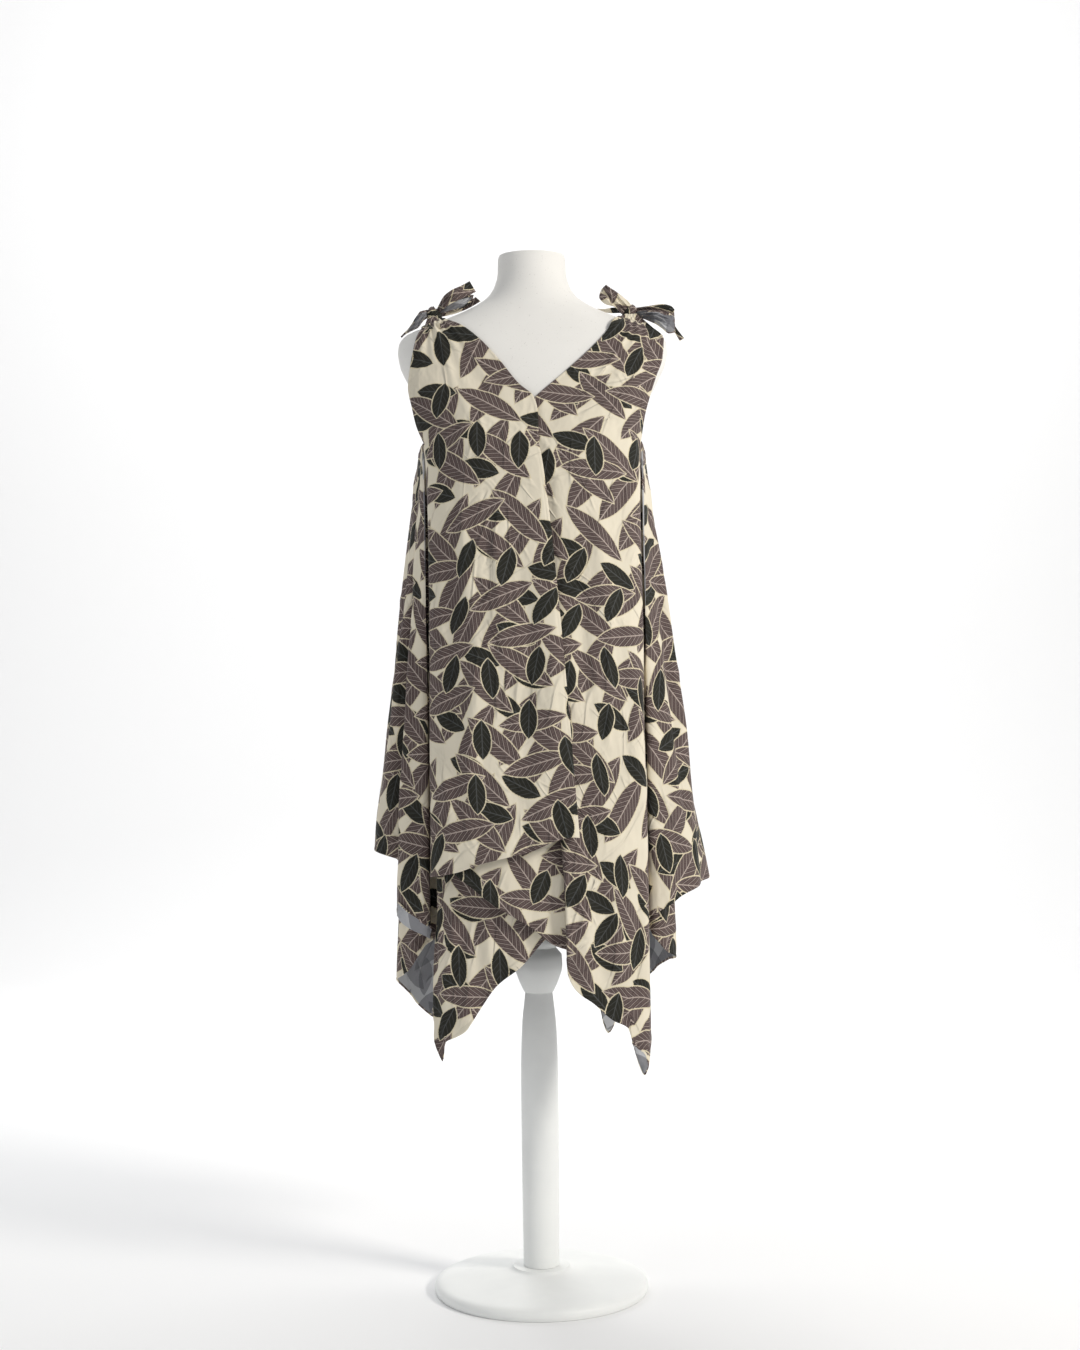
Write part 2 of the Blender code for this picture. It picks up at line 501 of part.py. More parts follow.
def hang(stations, top_height, low_height, upper_edge, rows):
    """Grid of points of cloth hanging from its upper edge to its hem.

    upper_edge gives the height of the upper edge at each place along the top.
    """
    names = HANG_COLUMNS
    keys = path_keys(stations[:, 2:4])
    at = samples(keys, PITCH)
    top, low = curve(keys, stations[:, 0:2], at), curve(keys, stations[:, 2:4], at)
    ease = np.interp(at, keys, column(stations, names, "ease"))
    hem = smooth_table(keys, column(stations, names, "hem"), at)
    upper = upper_edge(top)
    grid = []
    for share in np.linspace(0, 1, rows + 1) ** 1.3:
        height = upper + (hem - upper) * share
        fall = np.maximum(0, (top_height - height) / (top_height - low_height))
        opened = np.where(fall < 1, fall**ease, 1 + (fall - 1) * HEM_SPREAD)[:, None]
        grid.append(np.column_stack([top + (low - top) * opened, height]))
    return np.array(grid)


def armhole_rise(top):
    """Upper edge of the hanging cloth: it rises at the corners of the armholes."""
    corner = np.exp(-((np.abs(top[:, 1]) - 0.069) / 0.030) ** 2) * (np.abs(top[:, 0]) > 0.125)
    return UNDERARM + 0.012 * corner * np.clip((np.abs(top[:, 0]) - 0.125) / 0.025, 0, 1)


def level_edge(top):
    return np.full(len(top), UNDER_TOP)


def fan(table, first_row, gap):
    """Grid of points of the cloth above the underarm, ending on the first hanging row."""
    turned = abs(first_row[0, 0]) > abs(first_row[-1, 0])
    first = first_row[::-1] if turned else first_row
    neck = np.vstack([table[:, :3], first[0]])
    arm = np.vstack([table[:, 3:], first[-1]])
    keys = np.arange(len(neck), dtype=float)
    at = np.linspace(0, keys[-1], int(keys[-1]) * FAN_STEPS + 1)[:-1]
    neck, arm = curve(keys, neck, at), curve(keys, arm, at)
    settled = (first[:, 0] - first[0, 0]) / (first[-1, 0] - first[0, 0])
    even = np.linspace(0, 1, len(first))
    sag = first[:, 1] - first[0, 1] - (first[-1, 1] - first[0, 1]) * settled
    grid = []
    for i, down in enumerate(at / keys[-1]):
        share = even + (settled - even) * down**2
        row = neck[i] + (arm[i] - neck[i]) * share[:, None]
        row[:, 1] += sag * down**1.5
        grid.append(clear_of_form(row, gap(row)))
    grid = np.array(grid)
    return grid[:, ::-1] if turned else grid


def resting(points):
    """Gap from the form to the outer face of a panel that lies on it."""
    return np.full(points.shape[:-1], FORM_GAP + CLOTH)


def lapping(points):
    """The same, with room for the other front where the left one laps over it."""
    over = np.clip((1.350 - points[..., 2]) / 0.020, 0, 1) * np.clip(points[..., 0] / 0.03 + 3, 0, 1)
    return FORM_GAP + CLOTH + (LAP + CLOTH) * over


def outward_sign(grid):
    """+1 where the grid's normals already point away from the form's axis."""
    return 1 if (lengthwise(grid) * grid * (1, 1, 0)).sum() > 0 else -1


def panel(name, stations, fan_table, gap, look):
    """A front or back panel: its fan above the underarm and its fall below."""
    hanging = hang(stations, UNDERARM, LOW, armhole_rise, HANG_ROWS)
    hanging = clear_of_form(hanging, gap(hanging))
    grid = np.concatenate([fan(fan_table, hanging[0], gap), hanging])
    return wall(name, grid, outward_sign(grid), look)


def upper_side(name, stations, look):
    grid = hang(stations, UNDERARM, LOW, armhole_rise, HANG_ROWS)
    return wall(name, grid, outward_sign(grid), look)


def lower_tier(name, stations, look):
    grid = hang(stations, UNDER_TOP, UNDER_LOW, level_edge, UNDER_ROWS)
    return wall(name, grid, outward_sign(grid), look)


def mirrored(table, x_columns):
    turned = table.copy()
    turned[:, x_columns] *= -1
    return turned


def back_stations(left):
    """Stations of a back half.  The two hems differ."""
    if not left:
        return BACK[:, :6]
    stations = mirrored(BACK[:, :6], (0, 2))
    stations[:, 5] = column(BACK, BACK_COLUMNS, "hem_left")
    return stations


def leaf(name, table, look):
    """One end or loop of a bow."""
    rows = (len(table) - 1) * LEAF_ROWS
    keys = np.arange(len(table), dtype=float)
    smooth = curve(keys, table, np.linspace(0, keys[-1], rows + 1))
    ux, uz, lx, lz, y, lean, bulge = smooth.T[:, :, None]
    t = np.linspace(0, 1, LEAF_FACES + 1)[None]
    depth = y - lean * (t - 0.5) - bulge * (1 - (2 * t - 1) ** 2)
    grid = np.stack([ux + (lx - ux) * t, depth, uz + (lz - uz) * t], -1)
    grid = clear_of_form(grid, FORM_GAP + CLOTH)
    x = math.copysign(KNOT_X, table[0, 0])
    grid = meet_knot(clear_of_knot(grid, x), x)
    return wall(name, grid, 1 if lengthwise(grid)[..., 1].sum() < 0 else -1, look)


def knot(name, x, look):
    """The tied knot on a shoulder: a lump with the wraps of the strap across it."""
    rings, sides = 7, 12
    points = [(x, 0, KNOT_Z + KNOT_HALF[2])]
    for i in range(1, rings):
        polar = math.pi * i / rings
        for j in range(sides):
            turn = 2 * math.pi * j / sides
            wrap = 1 + (KNOT_WRAP - 1) * math.cos(3 * turn + 2 * polar)
            points.append((x + KNOT_HALF[0] * wrap * math.sin(polar) * math.cos(turn),
                           KNOT_HALF[1] * wrap * math.sin(polar) * math.sin(turn),
                           KNOT_Z + KNOT_HALF[2] * math.cos(polar)))
    points.append((x, 0, KNOT_Z - KNOT_HALF[2]))
    faces = [(0, 1 + j, 1 + (j + 1) % sides) for j in range(sides)]
    for i in range(rings - 2):
        for j in range(sides):
            a, b = 1 + i * sides + j, 1 + i * sides + (j + 1) % sides
            faces.append((a, a + sides, b + sides, b))
    end = len(points) - 1
    start = 1 + (rings - 2) * sides
    faces += [(end, start + (j + 1) % sides, start + j) for j in range(sides)]
    return add_object(name, points, faces, look)


def loft(name, rings, look):
    """Closed solid through rings of points given from the top down."""
    sides = len(rings[0])
    points = [p for ring in rings for p in ring]
    faces = [tuple(range(sides))]
    for i in range(len(rings) - 1):
        for j in range(sides):
            a, b = i * sides + j, i * sides + (j + 1) % sides
            faces.append((a, a + sides, b + sides, b))
    faces.append(tuple(range((len(rings) - 1) * sides, len(rings) * sides))[::-1])
    return add_object(name, points, faces, look)


def torso(look):
    rings = []
    turn = 2 * np.pi * np.arange(FORM_SIDES) / FORM_SIDES
    for height, width, front, back, square in FORM:
        x = width * np.sign(np.cos(turn)) * np.abs(np.cos(turn)) ** (2 / square)
        deep = np.where(np.sin(turn) < 0, front, back)
        y = deep * np.sign(np.sin(turn)) * np.abs(np.sin(turn)) ** (2 / square)
        share = np.abs(np.sin(turn)) ** (2 / square)
        y -= np.where(np.sin(turn) < 0, bust(x, height, 1.0) * share, 0)
        rings.append([(px, py, height) for px, py in zip(x, y)])
    return loft("form_torso", rings, look)


def turned(name, profile, look):
    """A round piece turned from a profile given from the top down."""
    rings = []
    for radius, height in profile:
        rings.append([(radius * math.cos(2 * math.pi * j / STAND_SIDES),
                       radius * math.sin(2 * math.pi * j / STAND_SIDES), height)
                      for j in range(STAND_SIDES)])
    return loft(name, rings, look)


def main():
    for old in list(bpy.data.objects):
        bpy.data.objects.remove(old)
    cloth = material("printed_crepe", (0.36, 0.31, 0.28), 0.75)
    jersey = material("white_jersey", (0.86, 0.85, 0.81), 0.85)
    paint = material("white_paint", (0.84, 0.85, 0.84), 0.45)

    torso(jersey)
    turned("stand_collar", COLLAR_PROFILE, paint)
    turned("stand_post", POST_PROFILE, paint)
    turned("stand_foot", FOOT_PROFILE, paint)

    panel("front_left", FRONT_OVER, FAN_LEFT, lapping, cloth)
    panel("front_right", FRONT_RIGHT, FAN_RIGHT, resting, cloth)
    panel("back_right", back_stations(False), FAN_BACK, resting, cloth)
    panel("back_left", back_stations(True), mirrored(FAN_BACK, (0, 3)), resting, cloth)
    upper_side("side_upper_left", WING_LEFT, cloth)
    upper_side("side_upper_right", WING_RIGHT, cloth)
    lower_tier("front_lower_left", FRONT_UNDER, cloth)
    lower_tier("side_lower_left", UNDER_LEFT, cloth)
    lower_tier("side_lower_right", UNDER_RIGHT, cloth)

    knot("bow_left_knot", -KNOT_X, cloth)
    knot("bow_right_knot", KNOT_X, cloth)
    for name, table in LEAVES.items():
        leaf(name, table, cloth)


main()
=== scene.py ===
"""Looks of the handkerchief dress on its dress form.

Every cloth piece is a thin shell on the shape of its solid, worked out from the same stations,
with gathers, creases, narrow hems and a printed face over a grey-lilac reverse.  The print is a
plain leaf pattern in cream, mauve-brown and black.

Metres, +Z up, -Y is the front, X runs to the viewer's right.  Only what goes through table() is
given in millimetres.
"""
import math

import bpy
import numpy as np
from mathutils import Euler, Matrix


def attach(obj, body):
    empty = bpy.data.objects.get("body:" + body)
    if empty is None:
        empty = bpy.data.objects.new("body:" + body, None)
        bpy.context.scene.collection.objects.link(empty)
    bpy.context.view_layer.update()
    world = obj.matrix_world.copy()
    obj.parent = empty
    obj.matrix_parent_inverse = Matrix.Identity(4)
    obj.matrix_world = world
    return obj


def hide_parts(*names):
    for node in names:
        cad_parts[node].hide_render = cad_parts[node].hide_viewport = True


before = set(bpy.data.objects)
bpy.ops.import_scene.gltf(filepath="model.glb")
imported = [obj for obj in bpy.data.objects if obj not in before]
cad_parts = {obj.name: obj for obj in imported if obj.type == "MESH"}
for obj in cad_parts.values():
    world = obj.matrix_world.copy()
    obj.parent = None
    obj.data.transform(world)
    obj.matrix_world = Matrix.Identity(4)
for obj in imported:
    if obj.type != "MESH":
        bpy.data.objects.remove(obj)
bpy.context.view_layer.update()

RATIOS = ("ease", "squareness", "share", "breadth")     # columns of tables that aren't lengths


def table(names, *rows):
    """Rows under named columns: lengths come in millimetres and go out in metres."""
    scale = [1 if name in RATIOS else 1000 for name in names.split()]
    return np.round(np.array(rows) / scale, 5)


# ---- sizes shared with the solids
FORM_GAP = 0.0012       # least air between the form and the inside of the solid cloth
SOLID_CLOTH = 0.0015    # wall of the solid cloth
UNDERARM = 1.250        # height where the fans of cloth above meet the hanging folds below
LOW = 0.620             # height at which the "low" columns of the upper pieces are given
UNDER_TOP = 0.800       # upper edge of the lower tier
UNDER_LOW = 0.450       # height at which the "low" columns of the lower tier are given
KNOT_X, KNOT_Z = 0.1470, 1.4604     # middle of a knot
KNOT_HALF = (0.0125, 0.0150, 0.0125)
HEM_SPREAD = 0.3        # how much a piece still widens below its low stations
LAP = 0.0040            # how far the left front stands off where it laps over the right one
LAP_TOP, LAP_FADE = 1.350, (0.03, 0.020)    # it does below this, and over this width and height
LAP_FROM = 3            # left end of the lap, in fade widths from the middle
CORNER_X, CORNER_Y = 0.125, 0.069   # the armholes' lower corners begin and have their middle here
CORNER_REACH, CORNER_RISE = (0.025, 0.030), 0.012   # over what x and y they rise, and how far
FAN_SETTLES, FAN_SAGS = 2, 1.5      # how late a fan takes on the widths and depths of the folds
ALL_FREE, ARMHOLE, BACK_NECK = 0.0, 1.26, 1.375     # heights above which an edge isn't sewn on

# ---- sizes of the fine cloth
CLOTH = 0.0008          # wall of the fine shell
PITCH = 0.0040          # widest face across a piece
PITCH_SLACK = 0.2       # share of it that a stretch may be too long before it gets a face more
FAN_STEPS = 8           # rows of faces between two rows of a fan table
HANG_ROWS = 110         # rows of faces from the underarm to a hem
UNDER_ROWS = 44
ROW_SPACING = 1.15      # above 1, rows lie closer at the upper edge
LEAF_ROWS = 12          # rows of faces between two rows of a leaf table
LEAF_FACES = 44
FLAP_ROWS, FLAP_FACES = 40, 14
EDGE_STEPS = (0.0007, 0.0016, 0.0028, 0.0040, 0.0050, 0.0062, 0.0080)  # columns beside an edge
EDGE_ROOM = EDGE_STEPS[-1] * 1.3    # no other columns come nearer the edge than this
HEM_STEPS = (0.0130, 0.0090, 0.0066, 0.0054, 0.0044, 0.0032, 0.0020, 0.0010, 0.0)  # rows there
HEM_WIDTH = 0.0048      # turned and stitched edge
HEM_SWELL = 0.0005      # how far the turned edge stands proud
HEM_ROUND = 0.0012      # width of its rounded fold
HEM_SETBACK = 0.35      # share of the thickness by which each face of that fold draws in
STITCHES = (0.95, 0.0006, 0.7)  # their groove: place in the hem, width, share of the swell
HEM_PRINTED = 0.8       # share of the hem whose inside shows the print

# ---- dress form
FORM_COLUMNS = "height half_width front back squareness"
FORM = table(
    FORM_COLUMNS,
    (1548, 49, 46, 50, 2),  # top of the neck
    (1543, 50.5, 48, 52, 2),
    (1520, 51.5, 50, 53, 2),
    (1503, 56, 52, 55, 2),
    (1487, 66, 55, 58, 2),  # neck meets shoulder
    (1475, 82, 57, 60, 2),
    (1466.6, 97.5, 59, 62, 2.1),
    (1447, 145, 64, 70, 2.2),  # under the knots
    (1427.5, 191.5, 70, 79, 2.3),
    (1416, 200, 74, 84, 2.4),  # shoulder end
    (1403, 201.6, 78, 88, 2.4),
    (1385, 199, 84, 93, 2.4),
    (1354, 185.5, 94, 99, 2.3),
    (1310, 164, 109, 102, 2.3),  # armhole
    (1240, 157, 121, 98, 2.3),  # bust
    (1160, 137, 106, 88, 2.2),
    (1060, 113, 86, 78, 2.2),  # waist
    (980, 125, 90, 87, 2.3),
    (900, 141, 98, 101, 2.3),
    (820, 146, 101, 106, 2.3),  # hips
    (740, 141, 98, 102, 2.3),
    (680, 130, 90, 94, 2.3),
    (655, 118, 80, 85, 2.3),  # lower edge
)
FORM_SIDES, FORM_LEVELS, STAND_SIDES = 128, 190, 96
TURNED_STEP = 0.006     # height of the faces of the turned pieces
BUST_X, BUST_Z = 0.075, 1.238   # middle of each side of the bust
BUST_SPREAD = 0.052
BUST_OUT = 0.012
CLEAR_ROUNDS, CLEAR_STEP = 12, 0.02     # how often and how far at most a point is moved out
FACING = 0.3            # least share of the normal where the form faces forward or back

PROFILE_COLUMNS = "radius height"
PROFILES = {            # turned collar with the cup under the torso, post and foot
    "turned_collar": table(
        PROFILE_COLUMNS,
        (19, 654.4), (19, 556), (25, 550), (25, 540), (20.5, 535), (29, 527), (30, 518),
        (26, 512), (34.5, 502), (35.8, 485), (31, 466), (22.2, 446),
    ),
    "turned_post": table(
        PROFILE_COLUMNS,
        (20.5, 445.6), (21.5, 435), (25.2, 400), (27.2, 360), (28, 310), (27.8, 200), (27, 90),
        (26.6, 36.4),
    ),
    "turned_foot": table(
        PROFILE_COLUMNS,
        (42, 36), (46, 32), (90, 26), (148, 18), (158, 13), (160, 6), (158, 0),
    ),
}

# ---- hanging cloth
# Stations of a piece, in order along its upper edge.  top: at the piece's upper height, low: at
# its lower height, ease: how soon the fold opens on the way down (below 1 is sooner), hem: the
# height of the lower edge there.
HANG_COLUMNS = "top_x top_y low_x low_y ease hem"

FRONT_OVER = table(     # left front, laps over the right one
    HANG_COLUMNS,
    (8, -145, 65, -188, 0.75, 690),  # lapping edge
    (1, -146.2, 55, -193, 0.75, 691),
    (-12, -146.5, 33, -193.5, 0.8, 687),
    (-30, -146, -4, -189, 0.9, 672),
    (-58, -144, -41, -187, 1, 663),
    (-86, -138, -81, -180, 1, 653),
    (-112, -126, -114, -168, 1, 641),
    (-130, -114, -135, -156, 0.9, 636),
    (-144, -100, -148, -140, 0.8, 633),
    (-153, -87, -153, -122, 0.6, 631),  # lip of the left fold
    (-158.5, -76, -149, -96, 0.5, 630),
    (-161, -66, -149, -63, 0.5, 630),  # seam in the fold
)
FRONT_RIGHT = table(    # right front, runs on under the left one
    HANG_COLUMNS,
    (158, -66, 153.5, -63, 0.5, 455),  # seam in the fold
    (156, -77, 154, -90, 0.5, 435),
    (151, -91, 159.5, -120, 0.6, 400),  # lip of the right fold
    (145, -100, 156, -142, 0.7, 374),
    (136, -109, 148.5, -151, 0.8, 349),  # right point of the hem
    (123, -119, 139, -156, 1, 369),
    (110, -126, 131, -159, 1, 393),
    (96, -132, 124, -162, 1, 418),
    (76, -137.5, 103, -168, 1, 430),
    (52, -140, 76, -174, 1, 455),
    (31, -140, 53, -179, 1, 473),
    (16, -139.5, 40, -181.5, 1.4, 498),  # lip of the low pleat
    (12, -139.2, 37.5, -177.5, 1.6, 516),
    (8, -139, 56, -174, 1.8, 522),
    (6, -139, 60, -169, 1.8, 524),  # bottom of the pleat
    (4, -139, 54, -165, 1.8, 526),
    (-2, -139, 25, -166, 1.4, 535),
    (-13, -139, -12.5, -169.5, 1, 564.5),
    (-26, -138.5, -53.5, -169, 1, 589),
    (-44, -137, -99, -160, 1, 622),
    (-60, -135, -120, -151, 1, 637),
)
BACK_COLUMNS = HANG_COLUMNS + " hem_left"
BACK = table(           # one back half, given for x > 0 and mirrored for the other
    BACK_COLUMNS,
    (151, 72.9, 150, 77.9, 0.5, 450, 440),  # seam in the fold
    (150, 82, 150, 100, 0.5, 440, 425),
    (145, 90, 154, 130, 0.6, 415, 395),
    (136, 98, 144, 148, 0.9, 395, 378),
    (122, 106, 127, 154, 1, 385, 363),
    (105, 112, 108, 152, 1, 353.5, 395),  # point of the back hem
    (90, 116, 95, 148, 1, 395, 418),
    (76, 118, 80, 147, 1, 436, 440),
    (56, 120, 56, 160, 1, 468, 468),
    (36, 120, 33, 165, 1, 500, 500),
    (18, 119, 14, 154, 1, 521, 521),
    (0.2, 118, 0.2, 152, 1, 530, 530),  # middle of the back
)
WING_LEFT = table(      # upper side tier, from the front fold round to the back fold
    HANG_COLUMNS,
    (-161, -65.6, -149, -62.6, 0.5, 537),
    (-161.2, -64, -149, -56, 0.5, 537),
    (-162.2, -63, -156.5, -56, 0.5, 537),
    (-163, -62, -158, -76, 0.5, 537),
    (-160.5, -60, -157.4, -103, 0.6, 541),  # lip beside the front fold
    (-164, -56, -168, -110.5, 0.8, 547),
    (-166.2, -50, -185, -107, 1, 555),
    (-167.4, -45, -199, -97, 1, 565),
    (-168.4, -40, -205, -86, 1, 578),  # lip of the side fold
    (-168.6, -37, -188.5, -70, 1.1, 610),
    (-169.3, -32.5, -196, -62, 1.1, 645),
    (-170.8, -22, -225, -57, 1, 656),
    (-172, -4, -251, -15, 0.95, 663),  # outer corner
    (-170.5, 17, -240, 25, 1, 652),
    (-167.5, 36, -215, 57, 1, 640),
    (-165, 45, -203, 69, 1, 600),
    (-162, 54, -193, 83, 1, 575),
    (-157, 64, -169, 112, 0.7, 560),  # lip beside the back fold
    (-154.5, 69, -158.5, 94, 0.5, 555),
    (-153.5, 70.5, -156.5, 72, 0.5, 550),
    (-151.5, 71.5, -150, 72, 0.5, 550),
    (-151, 72.5, -150, 77.5, 0.5, 550),
)
WING_RIGHT = table(
    HANG_COLUMNS,
    (158, -65.6, 153.5, -62.6, 0.5, 562),
    (158.3, -64, 153.5, -56, 0.5, 562),
    (159.3, -63, 160.5, -56, 0.5, 562),
    (160, -61.5, 162.5, -78, 0.5, 564),
    (157.8, -59.5, 162.7, -105, 0.6, 569),  # lip beside the front fold
    (161, -54.5, 173.5, -112.5, 0.8, 576),
    (163, -46, 190, -109, 1, 585),
    (164.2, -38, 208, -94, 1, 596),  # soft fold in the side
    (165.2, -29, 224, -84, 1, 604),
    (166, -19, 239, -62, 1, 611),
    (166.5, -8, 248, -34, 1, 614),
    (166.5, 4, 256.5, -6, 1.5, 615.5),  # outer corner
    (166, 16, 242, 28, 1, 612),
    (164, 34, 215, 60, 1, 606),
    (161.5, 50, 193, 83, 1, 600),
    (157, 64, 169, 112, 0.7, 590),  # lip beside the back fold
    (154.5, 69, 158.5, 94, 0.5, 585),
    (153.5, 70.5, 156.5, 72, 0.5, 580),
    (151.5, 71.5, 150, 72, 0.5, 580),
    (151, 72.5, 150, 77.5, 0.5, 580),
)
FRONT_UNDER = table(    # lower tier, left front
    HANG_COLUMNS,
    (42, -148, 44, -154, 1, 566),
    (13, -152, 13, -156, 1, 546),  # sewn inside the right front
    (-25, -155.6, -22, -160, 1, 507),
    (-58, -150, -60, -153, 1, 477),
    (-80, -143, -86, -152, 1, 440),
    (-96, -137, -104, -150, 1, 413),
    (-112, -127, -120, -144, 1, 403),
    (-124, -118, -133, -137, 1, 396),
    (-132, -111, -139.5, -131, 1, 367),  # left point of the hem
    (-138, -102, -148, -121, 1.2, 393),
    (-141, -92, -153.5, -104, 1.5, 430),
    (-143, -80, -149, -85, 1.5, 445),
    (-144, -66, -146.8, -64, 1, 455),  # seam
)
UNDER_LEFT = table(     # lower tier, left side, from the front fold to the back fold
    HANG_COLUMNS,
    (-144, -65.6, -146.8, -63.6, 1, 535),
    (-144.5, -52, -146.8, -52.5, 1, 535),
    (-156, -50, -157, -50, 1, 530),
    (-170, -56, -169, -64, 1, 519),
    (-179, -53, -187, -61, 1, 494),
    (-185, -40, -200, -47, 1, 480),
    (-193, -13, -212.5, -22, 1, 467),  # outer corner
    (-188, 20, -205, 8, 1, 453),
    (-179, 41, -190, 35, 1, 431),
    (-168, 56, -174, 57, 1, 408),
    (-156, 62, -158, 64, 1, 395),
    (-147.4, 66, -147.7, 68, 1, 390),
    (-147.4, 84, -147.7, 86, 1, 390),  # seam on the back
)
UNDER_RIGHT = table(
    HANG_COLUMNS,
    (151.2, -80, 151.6, -80, 1, 552),  # seam on the right front
    (150.8, -62, 151.2, -62, 1, 548),
    (150.8, -53, 151.2, -53, 1, 546),
    (160, -50, 161, -50, 1, 545),
    (171, -55, 172, -64, 1, 532),
    (181, -52, 185, -62, 1, 517),
    (187, -38, 196, -46, 1, 507),
    (193, -13, 207.5, -22, 1, 497),  # outer corner
    (188, 20, 198, 10, 1, 490),
    (179, 41, 183, 35, 1, 478),
    (168, 56, 170, 57, 1, 462),
    (156, 62, 158, 64, 1, 452),
    (147.4, 66, 147.7, 68, 1, 446),
    (147.4, 84, 147.7, 86, 1, 440),  # seam on the back
)

# ---- cloth above the underarm
# A fan of cloth spreads from the gathered strap.  Each row runs from the neck edge to the
# armhole edge.
FAN_COLUMNS = "neck_x neck_y neck_z arm_x arm_y arm_z"
FAN_LEFT = table(
    FAN_COLUMNS,
    (-139, -16.4, 1457.5, -155, -16.4, 1457.5),  # at the knot
    (-123, -30, 1446, -162, -24, 1437),
    (-103, -40, 1435, -170, -32, 1423),
    (-75, -56, 1411, -176, -44, 1401),
    (-49, -72, 1381, -181, -54, 1373),
    (-20, -92, 1343, -183.5, -61, 1344),
    (2, -108, 1321, -178, -65, 1315),
    (7.5, -120, 1295, -171.5, -66.5, 1287),
)
FAN_RIGHT = table(
    FAN_COLUMNS,
    (139, -16.4, 1457.5, 156, -16.4, 1457.5),  # at the knot
    (121, -28, 1445, 177, -22, 1438),
    (109, -42, 1424, 195, -33, 1417),
    (81, -60, 1393, 192, -46, 1386),
    (55.5, -74, 1369, 182, -54, 1358),
    (33, -86, 1349, 173.5, -60, 1332),
    (5, -102, 1324, 165, -64, 1302),
    (-32, -118, 1285, 161, -66, 1281),
)
FAN_BACK = table(       # for x > 0
    FAN_COLUMNS,
    (139, 16.4, 1457.5, 156, 16.4, 1457.5), (118, 33, 1443, 170, 27, 1430),
    (93, 50, 1427, 179, 44, 1400), (64, 68, 1408, 180, 56, 1365), (33, 82, 1390, 174, 64, 1333),
    (0.2, 94, 1370, 166, 69, 1302), (0.2, 108, 1310, 158, 71.5, 1278),
)

# ---- bows
# Ends and loops of the straps, from the knot outwards: upper edge, lower edge, middle depth,
# how far the lower edge stands in front of the upper one, and how far the middle bulges.
LEAF_COLUMNS = "upper_x upper_z lower_x lower_z y lean bulge"
LEAVES = {
    "bow_left_tail_upper": table(
        LEAF_COLUMNS,
        (-141, 1471.5, -139.5, 1463, -9, 2, 1), (-131.8, 1487, -128.2, 1470.5, -16, 3, 4),
        (-118.5, 1496.2, -114, 1478, -19, 3, 6), (-104.7, 1502.7, -100.5, 1484.5, -15, 2, 4),
        (-93, 1510.5, -83.6, 1494.3, -8, 0, 1),
    ),
    "bow_left_tail_lower": table(
        LEAF_COLUMNS,
        (-140, 1469, -139, 1460, -3, 0, 1), (-128, 1476.3, -125.8, 1464.5, -8, -4, 2),
        (-111.4, 1483.8, -108.7, 1468.8, -9, -6, 3), (-98, 1488.8, -95.5, 1476, -7, -5, 2),
        (-87, 1490.5, -89.5, 1482, -4, -2, 0),
    ),
    "bow_left_tail_rear": table(
        LEAF_COLUMNS,
        (-138, 1465, -137, 1459, 3, 0, 0), (-121.4, 1470, -117.5, 1463.2, 4, 2, 1),
        (-101.4, 1477.5, -96.5, 1471.2, 5, 2, 1), (-84.7, 1489.3, -77, 1482.5, 6, 1, 0),
    ),
    "bow_left_loop": table(
        LEAF_COLUMNS,
        (-156, 1469, -156, 1456, -7, 4, 1), (-166.4, 1465.3, -162.5, 1450, -13, 5, 5),
        (-174, 1454.8, -168.5, 1441.2, -17, 4, 6), (-182.5, 1442, -178.5, 1433.3, -17, 2, 4),
        (-196.5, 1427.5, -194, 1424, -13, 0, 0),
    ),
    "bow_right_loop_upper": table(
        LEAF_COLUMNS,
        (151, 1470, 134, 1458, -8, 4, 1), (143, 1477.5, 123.5, 1467.2, -16, 6, 5),
        (129.3, 1488.5, 107.8, 1471.8, -20, 6, 9), (118, 1496.5, 100.3, 1482.8, -17, 4, 7),
        (111, 1502.5, 103.5, 1495, -11, 1, 2),
    ),
    "bow_right_loop_outer": table(
        LEAF_COLUMNS,
        (154.5, 1464, 153.5, 1454, -8, 2, 1), (170.5, 1462.5, 171.2, 1447, -19, 6, 6),
        (187.8, 1460, 188.5, 1436.5, -26, 8, 10), (202.8, 1457.2, 203.5, 1426.2, -23, 6, 9),
        (212.5, 1458.5, 213.8, 1430, -13, 2, 3),
    ),
    "bow_right_loop_top": table(
        LEAF_COLUMNS,
        (155, 1469, 155.5, 1460, -2, -2, 1), (174.5, 1470.5, 174, 1458, -7, -6, 2),
        (192.8, 1472.2, 191.1, 1455, -10, -8, 3), (206, 1470, 204, 1454.5, -10, -6, 2),
        (213, 1465, 212.5, 1456, -8, -2, 0),
    ),
    "bow_right_tail": table(
        LEAF_COLUMNS,
        (159.2, 1460, 159, 1455, 1, 0, 0), (185, 1456.5, 184, 1450.5, 0, 0, 1),
        (211, 1445, 207.5, 1439.5, 0, 0, 1), (219, 1434.7, 214.5, 1430.3, 0, 0, 1),
        (227.8, 1423, 221.1, 1418.8, 0, 0, 0),
    ),
    "bow_right_tail_inner": table(
        LEAF_COLUMNS,
        (137, 1470, 138, 1463, 4, 0, 0), (122, 1471.8, 122, 1463.2, 9, 0, 1),
        (109, 1470.5, 110, 1465, 12, 0, 1), (98, 1470.8, 98.5, 1468.5, 13, 0, 0),
    ),
}

